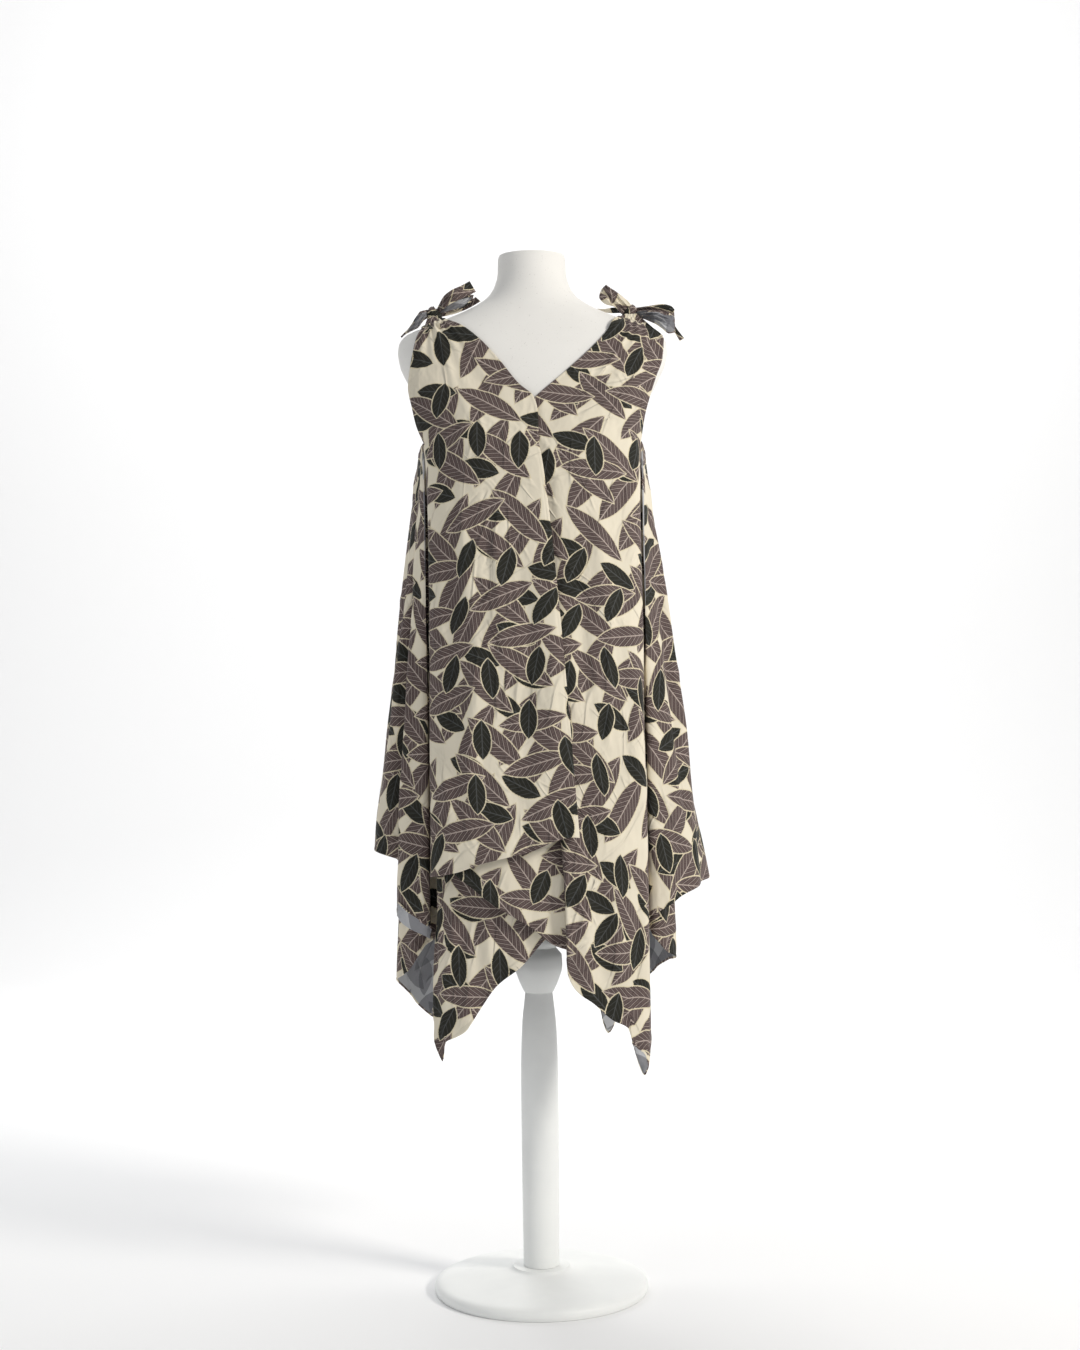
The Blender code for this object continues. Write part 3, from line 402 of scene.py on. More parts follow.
# Stretches of hem that have turned over in front of their own cloth: the fold and the free edge.
FLAP_COLUMNS = "fold_x fold_z free_x free_z"
TURNED_BACK = {
    "side_upper_left": table(
        FLAP_COLUMNS,
        (-156.5, 540, -153, 557.5), (-162, 544, -161, 563), (-175.1, 550.1, -174, 572),
        (-188.7, 556.8, -186.5, 580), (-199.8, 565, -196.5, 588.5), (-204.8, 573.2, -203, 593.5),
    ),
    "front_right": table(
        FLAP_COLUMNS,
        (131.6, 398.5, 132.2, 400), (135, 388, 142.5, 390), (140.9, 369, 153.5, 379),
        (145.5, 357, 156.2, 365), (148.5, 351.2, 151.5, 351),
    ),
}


# ---- curves and the form
def column(rows, names, name):
    """One named column of a table."""
    return rows[:, names.split().index(name)]


def smooth_table(keys, values, at):
    """Smooth curve through rising keys that never overshoots (monotone cubic)."""
    step = np.diff(keys)
    slope = np.diff(values) / step
    inner = np.where(slope[:-1] * slope[1:] > 0,
                     2 * slope[:-1] * slope[1:] / (slope[:-1] + slope[1:] + 1e-12), 0.0)
    tangent = np.concatenate([slope[:1], inner, slope[-1:]])
    at = np.clip(at, keys[0], keys[-1])
    i = np.clip(np.searchsorted(keys, at) - 1, 0, len(step) - 1)
    t = (at - keys[i]) / step[i]
    return ((2 * t**3 - 3 * t**2 + 1) * values[i] + (t**3 - 2 * t**2 + t) * step[i] * tangent[i]
            + (3 * t**2 - 2 * t**3) * values[i + 1] + (t**3 - t**2) * step[i] * tangent[i + 1])


def curve(keys, rows, at):
    """Smooth curve through the rows of a table."""
    return np.stack([smooth_table(keys, rows[:, k], at) for k in range(rows.shape[1])], -1)


def path_keys(path):
    """Length along a path at each of its points."""
    return np.concatenate([[0], np.cumsum(np.linalg.norm(np.diff(path, axis=0), axis=1))])


def refined(rows, steps):
    """Points at even steps along the smooth curves through the rows of a table."""
    keys = np.arange(len(rows), dtype=float)
    return curve(keys, rows, np.linspace(0, keys[-1], steps + 1))


def form_at(height):
    """Half width, front depth, back depth and squareness of the form at a height."""
    rising = FORM[::-1]
    return curve(rising[:, 0], rising[:, 1:], height)


def bust(x, z):
    """How far the bust stands out of the plain section, on the front only."""
    return BUST_OUT * np.exp(-((np.abs(x) - BUST_X) / BUST_SPREAD) ** 2
                             - ((z - BUST_Z) / BUST_SPREAD) ** 2)


def form_level(points):
    """Below 1 inside the form, 1 on its surface, above 1 outside."""
    x, y, z = np.moveaxis(points, -1, 0)
    width, front, back, square = np.moveaxis(form_at(z), -1, 0)
    depth = np.where(y < 0, front + bust(x, z), back)
    return (np.abs(x / width) ** square + np.abs(y / depth) ** square) ** (1 / square)


def clear_of_form(points, gap):
    """Moves the points that lie nearer the form than the gap out to it.

    They go straight forward or back where the form faces that way, so that what is seen from the
    front keeps its place, and else along the form's normal.
    """
    points = points.copy()
    small = 1e-4
    for _ in range(CLEAR_ROUNDS):
        level = form_level(points)
        rise = np.stack([form_level(points + small * axis) - level for axis in np.eye(3)], -1)
        rise /= small
        steep = np.maximum(np.linalg.norm(rise, axis=-1), 1e-6)
        normal = rise / steep[..., None]
        push = np.clip(gap - (level - 1) / steep, 0, CLEAR_STEP)
        facing = normal[..., 1]
        straight = np.zeros_like(points)
        straight[..., 1] = np.sign(facing) / np.maximum(np.abs(facing), FACING)
        way = np.where((np.abs(facing) > FACING)[..., None], straight, normal)
        points += push[..., None] * way
    return points


# ---- grids of cloth
def samples(keys, pitch):
    """Places along a path: each key, close ones beside both ends, none wider than the pitch."""
    places = []
    for start, end in zip(keys, keys[1:]):
        count = max(1, math.ceil((end - start) / pitch - PITCH_SLACK))
        places.extend(np.linspace(start, end, count, endpoint=False))
    places = np.array(places + [keys[-1]])
    inner = places[(places > keys[0] + EDGE_ROOM) & (places < keys[-1] - EDGE_ROOM)]
    steps = np.array(EDGE_STEPS)
    return np.concatenate([keys[:1], keys[0] + steps, inner, keys[-1] - steps[::-1], keys[-1:]])


def normals(grid):
    """Unit normals of a grid of points, by the differences along its rows and columns."""
    normal = np.cross(np.gradient(grid, axis=1), np.gradient(grid, axis=0))
    return normal / np.maximum(np.linalg.norm(normal, axis=2, keepdims=True), 1e-12)


def hang(stations, top_height, low_height, upper_edge, rows):
    """Grid of points of cloth hanging from its upper edge to its hem."""
    keys = path_keys(stations[:, 2:4])
    at = samples(keys, PITCH)
    top, low = curve(keys, stations[:, 0:2], at), curve(keys, stations[:, 2:4], at)
    ease = np.interp(at, keys, column(stations, HANG_COLUMNS, "ease"))
    hem = smooth_table(keys, column(stations, HANG_COLUMNS, "hem"), at)
    upper = upper_edge(top)
    heights = [upper + (hem + HEM_STEPS[0] - upper) * share
               for share in np.linspace(0, 1, rows + 1) ** ROW_SPACING]
    heights += [hem + step for step in HEM_STEPS[1:]]
    grid = []
    for height in heights:
        fall = np.maximum(0, (top_height - height) / (top_height - low_height))
        opened = np.where(fall < 1, fall**ease, 1 + (fall - 1) * HEM_SPREAD)[:, None]
        grid.append(np.column_stack([top + (low - top) * opened, height]))
    return np.array(grid)


def armhole_rise(top):
    """Upper edge of the hanging cloth: it rises at the corners of the armholes."""
    x, y = np.abs(top.T)
    corner = np.exp(-((y - CORNER_Y) / CORNER_REACH[1]) ** 2) * (x > CORNER_X)
    return UNDERARM + CORNER_RISE * corner * np.clip((x - CORNER_X) / CORNER_REACH[0], 0, 1)


def level_edge(top):
    """Upper edge of the lower tier."""
    return np.full(len(top), UNDER_TOP)


def fan(spread, first_row, gap):
    """Grid of points of the cloth above the underarm, ending on the first hanging row."""
    turned = abs(first_row[0, 0]) > abs(first_row[-1, 0])
    first = first_row[::-1] if turned else first_row
    steps = len(spread) * FAN_STEPS
    neck = refined(np.vstack([spread[:, :3], first[0]]), steps)
    arm = refined(np.vstack([spread[:, 3:], first[-1]]), steps)
    settled = (first[:, 0] - first[0, 0]) / (first[-1, 0] - first[0, 0])
    even = path_keys(first) / path_keys(first)[-1]
    sag = first[:, 1] - first[0, 1] - (first[-1, 1] - first[0, 1]) * settled
    grid = []
    for i, down in enumerate(np.linspace(0, len(spread), steps + 1)[:-1] / len(spread)):
        share = even + (settled - even) * down**FAN_SETTLES
        row = neck[i] + (arm[i] - neck[i]) * share[:, None]
        row[:, 1] += sag * down**FAN_SAGS
        grid.append(clear_of_form(row, gap(row)))
    grid = np.array(grid)
    return grid[:, ::-1] if turned else grid


def resting(points):
    """Gap from the form to the outer face of a panel that lies on it."""
    return np.full(points.shape[:-1], FORM_GAP + SOLID_CLOTH)


def lapping(points):
    """The same, with room for the other front where the left one laps over it."""
    over = np.clip((LAP_TOP - points[..., 2]) / LAP_FADE[1], 0, 1)
    over = over * np.clip(points[..., 0] / LAP_FADE[0] + LAP_FROM, 0, 1)
    return FORM_GAP + SOLID_CLOTH + (LAP + SOLID_CLOTH) * over


def outward_sign(grid):
    """+1 where the grid's normals already point away from the form's axis."""
    return 1 if (normals(grid) * grid * (1, 1, 0)).sum() > 0 else -1


def front_sign(grid):
    """+1 where the grid's normals already point forward."""
    return 1 if normals(grid)[..., 1].sum() < 0 else -1


def mirrored(rows, x_columns):
    """A table for the other side of the dress."""
    turned = rows.copy()
    turned[:, x_columns] *= -1
    return turned


def back_stations(left):
    """Stations of a back half.  The two hems differ."""
    if not left:
        return BACK[:, :6]
    stations = mirrored(BACK[:, :6], (0, 2))
    stations[:, 5] = column(BACK, BACK_COLUMNS, "hem_left")
    return stations


# ---- flat pattern of a piece
FLAT_SPACING = 0.020    # first the pattern is worked out on a coarse grid
FLAT_ROUNDS = 500
FINE_ROUNDS = 60        # and then evened out on the fine one
RELAX_RATE = 1.8
NEIGHBOURS = ((0, 1), (1, 0), (1, 1), (1, -1))  # steps by rows and columns
CUT_TURNS = np.radians(np.arange(0, 180, 3))
LEAST_CUT = 0.010       # no strip is cut narrower


def coarse_indices(lengths):
    """Indices along a path about FLAT_SPACING apart, with both ends."""
    wanted = np.arange(0, lengths[-1], FLAT_SPACING)
    picked = np.unique(np.searchsorted(lengths, wanted))
    return np.unique(np.concatenate([picked, [len(lengths) - 1]]))


def pairs_of(grid, step):
    """Views of the points that have a neighbour at a step, and of those neighbours."""
    rows, columns = step
    every, low, high = slice(None), slice(0, -1), slice(1, None)
    up, down = (low, high) if rows else (every, every)
    left, right = {0: (every, every), 1: (low, high), -1: (high, low)}[columns]
    return grid[up, left], grid[down, right]


def relaxed(flat, solid, rounds):
    """Moves flat points until neighbours lie as far apart as they do on the solid shape."""
    flat = flat.copy()
    count = np.zeros(flat.shape[:2])
    rest = []
    for step in NEIGHBOURS:
        here, there = pairs_of(solid, step)
        rest.append(np.linalg.norm(there - here, axis=-1))
        for view in pairs_of(count, step):
            view += 1
    for _ in range(rounds):
        move = np.zeros_like(flat)
        for step, length in zip(NEIGHBOURS, rest):
            here, there = pairs_of(flat, step)
            gap = there - here
            size = np.maximum(np.linalg.norm(gap, axis=-1), 1e-9)
            pull = gap * ((size - length) / size * 0.5)[..., None]
            move_here, move_there = pairs_of(move, step)
            move_here += pull
            move_there -= pull
        flat += move / count[..., None] * RELAX_RATE
    return flat


def stretched(values, places, count):
    """Values given at some places along the first axis, filled in at every place."""
    keys, at = places.astype(float), np.arange(count, dtype=float)
    curved = [[smooth_table(keys, line, at) for line in values[..., k].T]
              for k in range(values.shape[-1])]
    return np.stack([np.array(one).T for one in curved], -1)


def lengths_across(grid):
    """Length along each row of a grid at each of its points."""
    return np.concatenate([np.zeros((grid.shape[0], 1)),
                           np.cumsum(np.linalg.norm(np.diff(grid, axis=1), axis=2), 1)], 1)


def flatten(grid):
    """The piece laid flat, in metres: a pair of coordinates for each point of the grid.

    Neighbouring points keep their distances as nearly as one flat sheet can.
    """
    i = coarse_indices(path_keys(grid[:, grid.shape[1] // 2]))
    j = coarse_indices(path_keys(grid[grid.shape[0] * 2 // 3]))
    part = grid[np.ix_(i, j)]
    centre = part.shape[1] // 2
    across = lengths_across(part)
    down = path_keys(part[:, centre])
    flat = np.stack([across - across[:, centre:centre + 1],
                     np.repeat(down[:, None], part.shape[1], 1)], -1)
    flat = relaxed(flat, part, FLAT_ROUNDS)
    filled = stretched(flat, i, grid.shape[0])
    filled = stretched(filled.transpose(1, 0, 2), j, grid.shape[1]).transpose(1, 0, 2)
    return relaxed(filled, grid, FINE_ROUNDS)


def upright(flat, grid, offset):
    """Turns the flat pattern so that its second axis runs as the piece hangs, and moves it."""
    centred = flat - flat.mean((0, 1))
    height = grid[..., 2] - grid[..., 2].mean()
    lean = np.array([(centred[..., k] * height).sum() for k in (0, 1)])
    lean /= np.linalg.norm(lean)
    side = np.array((lean[1], -lean[0]))
    return np.stack([centred @ side + offset[0], centred @ lean + offset[1]], -1)


def surface(grid):
    """Area of a grid of points, flat or not."""
    if grid.shape[2] == 2:
        grid = np.concatenate([grid, np.zeros((*grid.shape[:2], 1))], 2)
    across = np.cross(grid[1:, 1:] - grid[:-1, :-1], grid[1:, :-1] - grid[:-1, 1:])
    return float(np.linalg.norm(across, axis=2).sum()) / 2


def cut_size(flat):
    """Width and length of the smallest rectangle that the piece can be cut from."""
    points = flat.reshape(-1, 2)
    sizes = []
    for turn in CUT_TURNS:
        side = np.array((math.cos(turn), math.sin(turn)))
        sizes.append((np.ptp(points @ side), np.ptp(points @ np.array((-side[1], side[0])))))
    best = min(sizes, key=lambda size: size[0] * size[1])
    return tuple(max(LEAST_CUT, round(float(length) + 0.0005, 3)) for length in sorted(best))


# ---- walls
PRINT, REVERSE_SIDE = 0, 1


def edge_distance(grid):
    """Distance of each point from the sides, the top and the hem of its piece."""
    across = lengths_across(grid)
    down = lengths_across(grid.transpose(1, 0, 2)).T
    return {"first": across, "last": across[:, -1:] - across, "top": down,
            "hem": down[-1:] - down}


def nearest_edge(grid, edges):
    """Distance from the nearest of some edges, named with the height above which they count."""
    distance = edge_distance(grid)
    near = np.full(grid.shape[:2], 1.0)
    for name, height in edges.items():
        near = np.where(grid[..., 2] > height, np.minimum(near, distance[name]), near)
    return near


def add_mesh(name, points, faces, looks, flat=None, ridden=True):
    """A smooth piece of the part's one body, or of the stage.

    flat maps its cloth: a pair of coordinates for each point.
    """
    mesh = bpy.data.meshes.new(name)
    mesh.from_pydata(points.reshape(-1, 3).tolist(), [], faces)
    mesh.shade_smooth()
    if flat is not None:
        corners = np.empty(len(mesh.loops), np.int32)
        mesh.loops.foreach_get("vertex_index", corners)
        layer = mesh.uv_layers.new(name="cloth")
        layer.data.foreach_set("uv", flat.reshape(-1, 2)[corners].ravel())
    for look in looks:
        mesh.materials.append(look)
    made = bpy.data.objects.new(name, mesh)
    bpy.context.scene.collection.objects.link(made)
    if ridden:
        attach(made, "root")
    return made


def wall(name, grid, outward, flat, looks, edges, faces_looks=(PRINT, REVERSE_SIDE)):
    """Thin closed cloth wall: the grid is its outer face, and the inner face lies behind it.

    edges names the free ones, any of first, last, top and hem, with the height above which they
    are free.  There the cloth is turned over and stitched down, so it swells, and the printed
    face shows on the inside too.
    """
    near = nearest_edge(grid, edges)
    swell = np.clip((HEM_WIDTH - near) / HEM_ROUND, 0, 1) * HEM_SWELL
    at, width, depth = STITCHES
    groove = -np.exp(-((near - HEM_WIDTH * at) / width) ** 2) * HEM_SWELL * depth
    proud = swell + groove
    rounding = np.clip(1 - near / HEM_ROUND, 0, 1) ** 2
    normal = outward * normals(grid)
    thick = CLOTH + np.maximum(proud, 0)
    setback = rounding * thick * HEM_SETBACK
    outer = grid + normal * (proud - setback)[..., None]
    inner = grid - normal * (CLOTH - setback)[..., None]
    number = np.arange(near.size).reshape(near.shape)
    a, b = number[:-1, :-1].ravel(), number[:-1, 1:].ravel()
    c, d = number[1:, 1:].ravel(), number[1:, :-1].ravel()
    loop = np.concatenate([number[0], number[1:, -1], number[-1, -2::-1], number[-2:0:-1, 0]])
    follow = np.roll(loop, -1)
    faces = np.concatenate([np.stack([a, b, c, d], 1),
                            np.stack([a, d, c, b], 1) + near.size,
                            np.stack([follow, loop, loop + near.size, follow + near.size], 1)])
    turned_over = (near[:-1, :-1] < HEM_WIDTH * HEM_PRINTED).ravel()
    sides = [np.where(turned_over, PRINT, side) for side in faces_looks]
    if outward < 0:
        faces = faces[:, ::-1]
    made = add_mesh(name, np.stack([outer, inner]), faces.tolist(), looks, np.stack([flat, flat]))
    made.data.polygons.foreach_set("material_index",
                                   np.concatenate([*sides, np.full(len(loop), PRINT)]))
    return made


# ---- materials
CREAM = (0.805, 0.735, 0.590)
BROWN = (0.175, 0.128, 0.116)
BROWN_DARK = (0.036, 0.024, 0.026)
BROWN_PALE = (0.500, 0.420, 0.370)
BLACK = (0.012, 0.0125, 0.009)
BLACK_WARM = (0.030, 0.028, 0.020)
BLACK_PALE = (0.095, 0.100, 0.100)
FRAYED = (0.700, 0.620, 0.440)
REVERSE = (0.420, 0.425, 0.440)
REVERSE_DARK = (0.105, 0.105, 0.120)
JERSEY, JERSEY_SHADE, SPECK = (0.865, 0.850, 0.812), (0.830, 0.815, 0.778), (0.42, 0.40, 0.37)
PAINT, PAINT_SHADE = (0.880, 0.890, 0.870), (0.835, 0.845, 0.830)
PAPER = (0.88, 0.88, 0.88)

# Layers of leaves of the print, from the ground up.  angle in degrees, lengths in metres; skip
# is the share of places left empty, and dark says which colours it takes.
LEAF_LAYER_COLUMNS = "angle length width cell_length cell_width drift skip dark seed"
LEAF_LAYERS = [dict(zip(LEAF_LAYER_COLUMNS.split(), row)) for row in (
    (58, 0.118, 0.034, 0.136, 0.047, 0.010, 0.02, 0, 3.7),
    (-24, 0.062, 0.027, 0.082, 0.050, 0.012, 0.34, 1, 9.1),
    (-41, 0.110, 0.031, 0.130, 0.054, 0.012, 0.14, 0, 17.3),
    (12, 0.096, 0.029, 0.122, 0.062, 0.014, 0.28, 0, 28.9),
    (81, 0.056, 0.025, 0.084, 0.062, 0.014, 0.48, 1, 41.9),
)]
LEAF_BLUNT = 2.4        # the higher, the blunter a leaf's ends
LEAF_TILT = 1.2         # how far a leaf turns in its place, as a share of the room there
LEAF_FRAY = 0.0028      # unevenness of its edge
LEAF_EDGE, LEAF_RIM = (0.0002, -0.0002), (0.0020, 0.0012)   # where each starts and is full
HATCH_PITCH, VEIN_PITCH, VEIN_SLANT = 0.0011, 0.0046, 1.3
ROUGH = (620.0, 3.0, 0.6)   # noise in its lines: scale, detail, roughness

# Layers of thin creases in the cloth: direction in degrees from upright, how long they run,
# how close they lie, half width as a share of that, height in metres, and place of the pattern.
CREASE_LAYERS = (
    (8, 0.22, 26.0, 0.055, 0.0022, 1.3),
    (-38, 0.26, 34.0, 0.060, 0.0016, 4.1),
    (42, 0.26, 34.0, 0.060, -0.0016, 7.7),
)
SOFT_WRINKLES = (26.0, 3.0, 0.55)       # scale, detail, roughness
CRINKLE = (900.0, 2.0, 0.6)


class Value:
    """An output of a material's node, with arithmetic that adds the nodes it takes."""

    def __init__(self, look, socket):
        self.look, self.socket = look, socket

    def __add__(self, other):
        return self.look.math("ADD", self, other)

    def __sub__(self, other):
        return self.look.math("SUBTRACT", self, other)

    def __rsub__(self, other):
        return self.look.math("SUBTRACT", other, self)

    def __mul__(self, other):
        return self.look.math("MULTIPLY", self, other)

    def __truediv__(self, other):
        return self.look.math("DIVIDE", self, other)

    def __abs__(self):
        return self.look.math("ABSOLUTE", self)


class Look:
    """A material, with short ways to add and link its nodes."""

    def __init__(self, name, roughness, sheen=0.0, colour=(0.8, 0.8, 0.8)):
        self.material = bpy.data.materials.new(name)
        self.material.use_nodes = True
        self.tree = self.material.node_tree
        for socket, value in (("Base Color", colour), ("Roughness", roughness),
                              ("Specular IOR Level", 0.25), ("Sheen Weight", sheen),
                              ("Sheen Roughness", 0.5)):
            self.give(socket, value)

    def put(self, socket, value):
        if isinstance(value, Value):
            self.tree.links.new(value.socket, socket)
        elif isinstance(value, tuple) and len(socket.default_value) == 4:
            socket.default_value = (*value, 1)
        else:
            socket.default_value = value

    def give(self, name, value):
        """Sets or links an input of the shader."""
        self.put(self.tree.nodes["Principled BSDF"].inputs[name], value)

    def node(self, kind, output, inputs, **settings):
        """An output of a new node, whose inputs are set or linked by their name or number."""
        node = self.tree.nodes.new("ShaderNode" + kind)
        for name, value in settings.items():
            setattr(node, name, value)
        for name, value in inputs.items():
            self.put(node.inputs[name], value)
        return Value(self, node.outputs[output])

    def math(self, operation, *values):
        return self.node("Math", 0, dict(enumerate(values)), operation=operation)

    def mix(self, share, a, b):
        inputs = {"Factor": share, "A": a, "B": b}
        return self.node("Mix", "Result", inputs, data_type="RGBA")

    def ramp(self, value, low, high):
        """0 at low and 1 at high, smooth between."""
        inputs = {"Value": value, "From Min": low, "From Max": high}
        return self.node("MapRange", "Result", inputs, interpolation_type="SMOOTHSTEP")

    def vector(self, *values):
        return self.node("CombineXYZ", 0, dict(enumerate(values)))

    def split(self, vector):
        """The three numbers of a vector or colour."""
        node = self.node("SeparateXYZ", 0, {0: vector}).socket.node
        return [Value(self, socket) for socket in node.outputs]

    def noise(self, vector, scale, detail=2.0, roughness=0.5):
        inputs = {"Vector": vector, "Scale": scale, "Detail": detail, "Roughness": roughness}
        return self.node("TexNoise", "Fac", inputs)

    def random(self, *place):
        """Three numbers between 0 and 1 that differ from place to place."""
        inputs = {"Vector": self.vector(*place)}
        return self.split(self.node("TexWhiteNoise", "Color", inputs, noise_dimensions="3D"))

    def cloth_map(self):
        return self.node("UVMap", "UV", {}, uv_map="cloth")

    def place(self):
        return self.node("TexCoord", "Object", {})

    def bump(self, height, distance, strength, **under):
        """A bump, over another one where Normal gives that."""
        inputs = {"Strength": strength, "Distance": distance, "Height": height, **under}
        return self.node("Bump", "Normal", inputs)


def turned_map(u, v, turn):
    """Coordinates along and across a direction at an angle from u."""
    cos, sin = math.cos(turn), math.sin(turn)
    return u * cos + v * sin, v * cos - u * sin


def leaf_layer(look, u, v, rough, layer):
    """Masks of one layer of leaves: inside a leaf and in its frayed rim, and its coordinates."""
    length, width = layer["length"], layer["width"]
    cell_length, cell_width = layer["cell_length"], layer["cell_width"]
    along, across = turned_map(u, v, math.radians(layer["angle"]))
    rows = across / cell_width
    row = look.math("FLOOR", rows)
    columns = along / cell_length + look.random(row, layer["seed"], 0.5)[0]
    chance = look.random(look.math("FLOOR", columns), row, layer["seed"])
    x = (look.math("FRACT", columns) - 0.5) * cell_length + (chance[0] - 0.5) * layer["drift"]
    y = (look.math("FRACT", rows) - 0.5) * cell_width
    tilt = (chance[1] - 0.5) * ((cell_width - width) / length * LEAF_TILT)
    side = abs(x * tilt + y)
    body = 1.0 - look.math("POWER", abs(x / (length / 2)), LEAF_BLUNT)
    outside = side - body * (width / 2) + (rough - 0.5) * LEAF_FRAY
    outside = outside + look.math("LESS_THAN", chance[2], layer["skip"])
    vein = side * VEIN_SLANT + x
    return look.ramp(outside, *LEAF_EDGE), look.ramp(outside, *LEAF_RIM), side, vein


def leaf_colour(look, side, vein, rough, dark):
    """Colour inside a leaf: hatching, slanted veins and a midrib."""
    hatch = look.math("PINGPONG", vein / HATCH_PITCH, 1.0) * 0.55 + rough * 0.9
    steps = look.math("PINGPONG", vein / VEIN_PITCH, 1.0)
    pale_line = look.ramp(steps, 0.17, 0.07)
    dark_line = look.ramp(abs(steps - 0.32), 0.17, 0.06)
    midrib = look.ramp(side, 0.0010, 0.0005)
    if dark:
        colour = look.mix(look.ramp(hatch, 0.2, 1.4), BLACK, BLACK_WARM)
        return look.mix(look.math("MAXIMUM", pale_line * 0.45, midrib * 0.6), colour, BLACK_PALE)
    colour = look.mix(look.ramp(hatch, 0.25, 1.15), BROWN_DARK, BROWN)
    colour = look.mix(look.ramp(hatch, 0.95, 1.45), colour, BROWN_PALE)
    colour = look.mix(dark_line * 0.7, colour, BROWN_DARK)
    return look.mix(look.math("MAXIMUM", pale_line * 0.80, midrib) * 0.88, colour, BROWN_PALE)


def ridges(look, u, v, turn, squeeze, scale, width, patch):
    """Thin ridges that wander along one direction and come and go in patches."""
    along, across = turned_map(v, u, turn)
    wander = look.noise(look.vector(across, along * squeeze, patch), scale, 1.0, 0.4)
    ridge = look.ramp(abs(wander - 0.5), width, 0.0)
    where = look.noise(look.vector(u, v, patch + 5.0), 11.0, 1.0)
    return ridge * ridge * look.ramp(where, 0.48, 0.60)


def crepe_bump(look, vector, u, v):
    """Fine crinkle of the crepe over creases from wear and soft hand-scale wrinkles."""
    normal = look.bump(look.noise(look.vector(u, v * 0.45), *SOFT_WRINKLES), 0.0075, 0.7)
    for turn, squeeze, scale, width, distance, patch in CREASE_LAYERS:
        crease = ridges(look, u, v, math.radians(turn), squeeze, scale, width, patch)
        normal = look.bump(crease, distance, 0.8, Normal=normal)
    return look.bump(look.noise(vector, *CRINKLE), 0.00025, 0.5, Normal=normal)


def crepe(name, roughness, sheen, colour_of):
    """Material of one side of the cloth; colour_of gives its colour."""
    look = Look(name, roughness, sheen)
    vector = look.cloth_map()
    u, v, _ = look.split(vector)
    look.give("Base Color", colour_of(look, vector, u, v, look.noise(vector, *ROUGH)))
    look.give("Normal", crepe_bump(look, vector, u, v))
    return look.material


def print_colour(look, vector, u, v, rough):
    """Leaves on cream, in mauve-brown and black."""
    cloud = look.noise(vector, 9.0, 2.0)
    colour = look.mix(look.ramp(cloud, 0.25, 0.75), CREAM, tuple(c * 0.90 for c in CREAM))
    for layer in LEAF_LAYERS:
        fill, rim, side, vein = leaf_layer(look, u, v, rough, layer)
        colour = look.mix(rim, colour, FRAYED)
        colour = look.mix(fill, colour, leaf_colour(look, side, vein, rough, layer["dark"]))
    return colour


def reverse_colour(look, vector, u, v, rough):
    """Wrong side of the cloth: grey-lilac, with the print showing through faintly."""
    colour = look.mix(look.ramp(rough, 0.2, 0.8), REVERSE, tuple(c * 1.12 for c in REVERSE))
    for layer in LEAF_LAYERS[::2]:
        fill = leaf_layer(look, u, v, rough, layer)[0]
        colour = look.mix(fill * 0.62, colour, REVERSE_DARK)
    return colour


def jersey():
    """Stretched white jersey of the form: fine ribs and a few specks."""
    look = Look("white_jersey_cover", 0.82, sheen=0.08)
    place = look.place()
    x, y, z = look.split(place)
    cloud = look.noise(place, 7.0, 3.0, 0.6)
    specks = look.noise(place, 420.0, 1.0, 0.5)
    colour = look.mix(look.ramp(cloud, 0.3, 0.7), JERSEY, JERSEY_SHADE)
    look.give("Base Color", look.mix(look.ramp(specks, 0.71, 0.78) * 0.45, colour, SPECK))
    knit = look.noise(look.vector(x, y, z * 0.5), 1500.0, 1.0)
    look.give("Normal", look.bump(knit, 0.0002, 0.5))
    return look.material


def paint():
    """Satin white paint on turned wood."""
    look = Look("white_stand_paint", 0.42)
    place = look.place()
    x, y, z = look.split(place)
    brushed = look.noise(look.vector(x, y, z * 6.0), 60.0, 3.0, 0.6)
    cloud = look.noise(place, 11.0, 3.0, 0.6)
    look.give("Base Color", look.mix(look.ramp(cloud, 0.3, 0.7), PAINT, PAINT_SHADE))
    look.give("Roughness", brushed * 0.18 + 0.34)
    look.give("Normal", look.bump(brushed, 0.0003, 0.4))
    return look.material


# ---- folds given one by one
# Gathers that run down from a knot: place across the fan from its neck edge to its armhole edge
# and breadth, as shares of the fan, how far down they run and how high they stand.
GATHER_COLUMNS = "share breadth length height"
GATHERS_LEFT = table(
    GATHER_COLUMNS,
    (0.1, 0.038, 50, 3), (0.24, 0.041, 95, 4.6), (0.4, 0.045, 70, 4.1), (0.55, 0.038, 120, 4.9),
    (0.7, 0.041, 60, 3.8), (0.85, 0.045, 85, 4.1),
)
GATHERS_RIGHT = table(
    GATHER_COLUMNS,
    (0.08, 0.034, 70, 3.2), (0.2, 0.041, 45, 4.1), (0.35, 0.038, 110, 4.9), (0.5, 0.045, 65, 4.6),
    (0.66, 0.038, 90, 4.1), (0.82, 0.041, 55, 3.8),
)
GATHERS_BACK = table(
    GATHER_COLUMNS,
    (0.12, 0.038, 60, 3.5), (0.28, 0.041, 100, 4.3), (0.45, 0.041, 60, 4.1),
    (0.62, 0.041, 110, 4.6), (0.8, 0.041, 70, 3.8),
)
GATHER_START, GATHER_RISE = 0.017, 0.022    # they begin this far from the knot, and rise over this
GATHER_FULL, GATHER_FADE = 0.03, 1.6        # from where and how fast they fade
GATHER_BORDER = 0.04    # share of the fan without any beside each edge

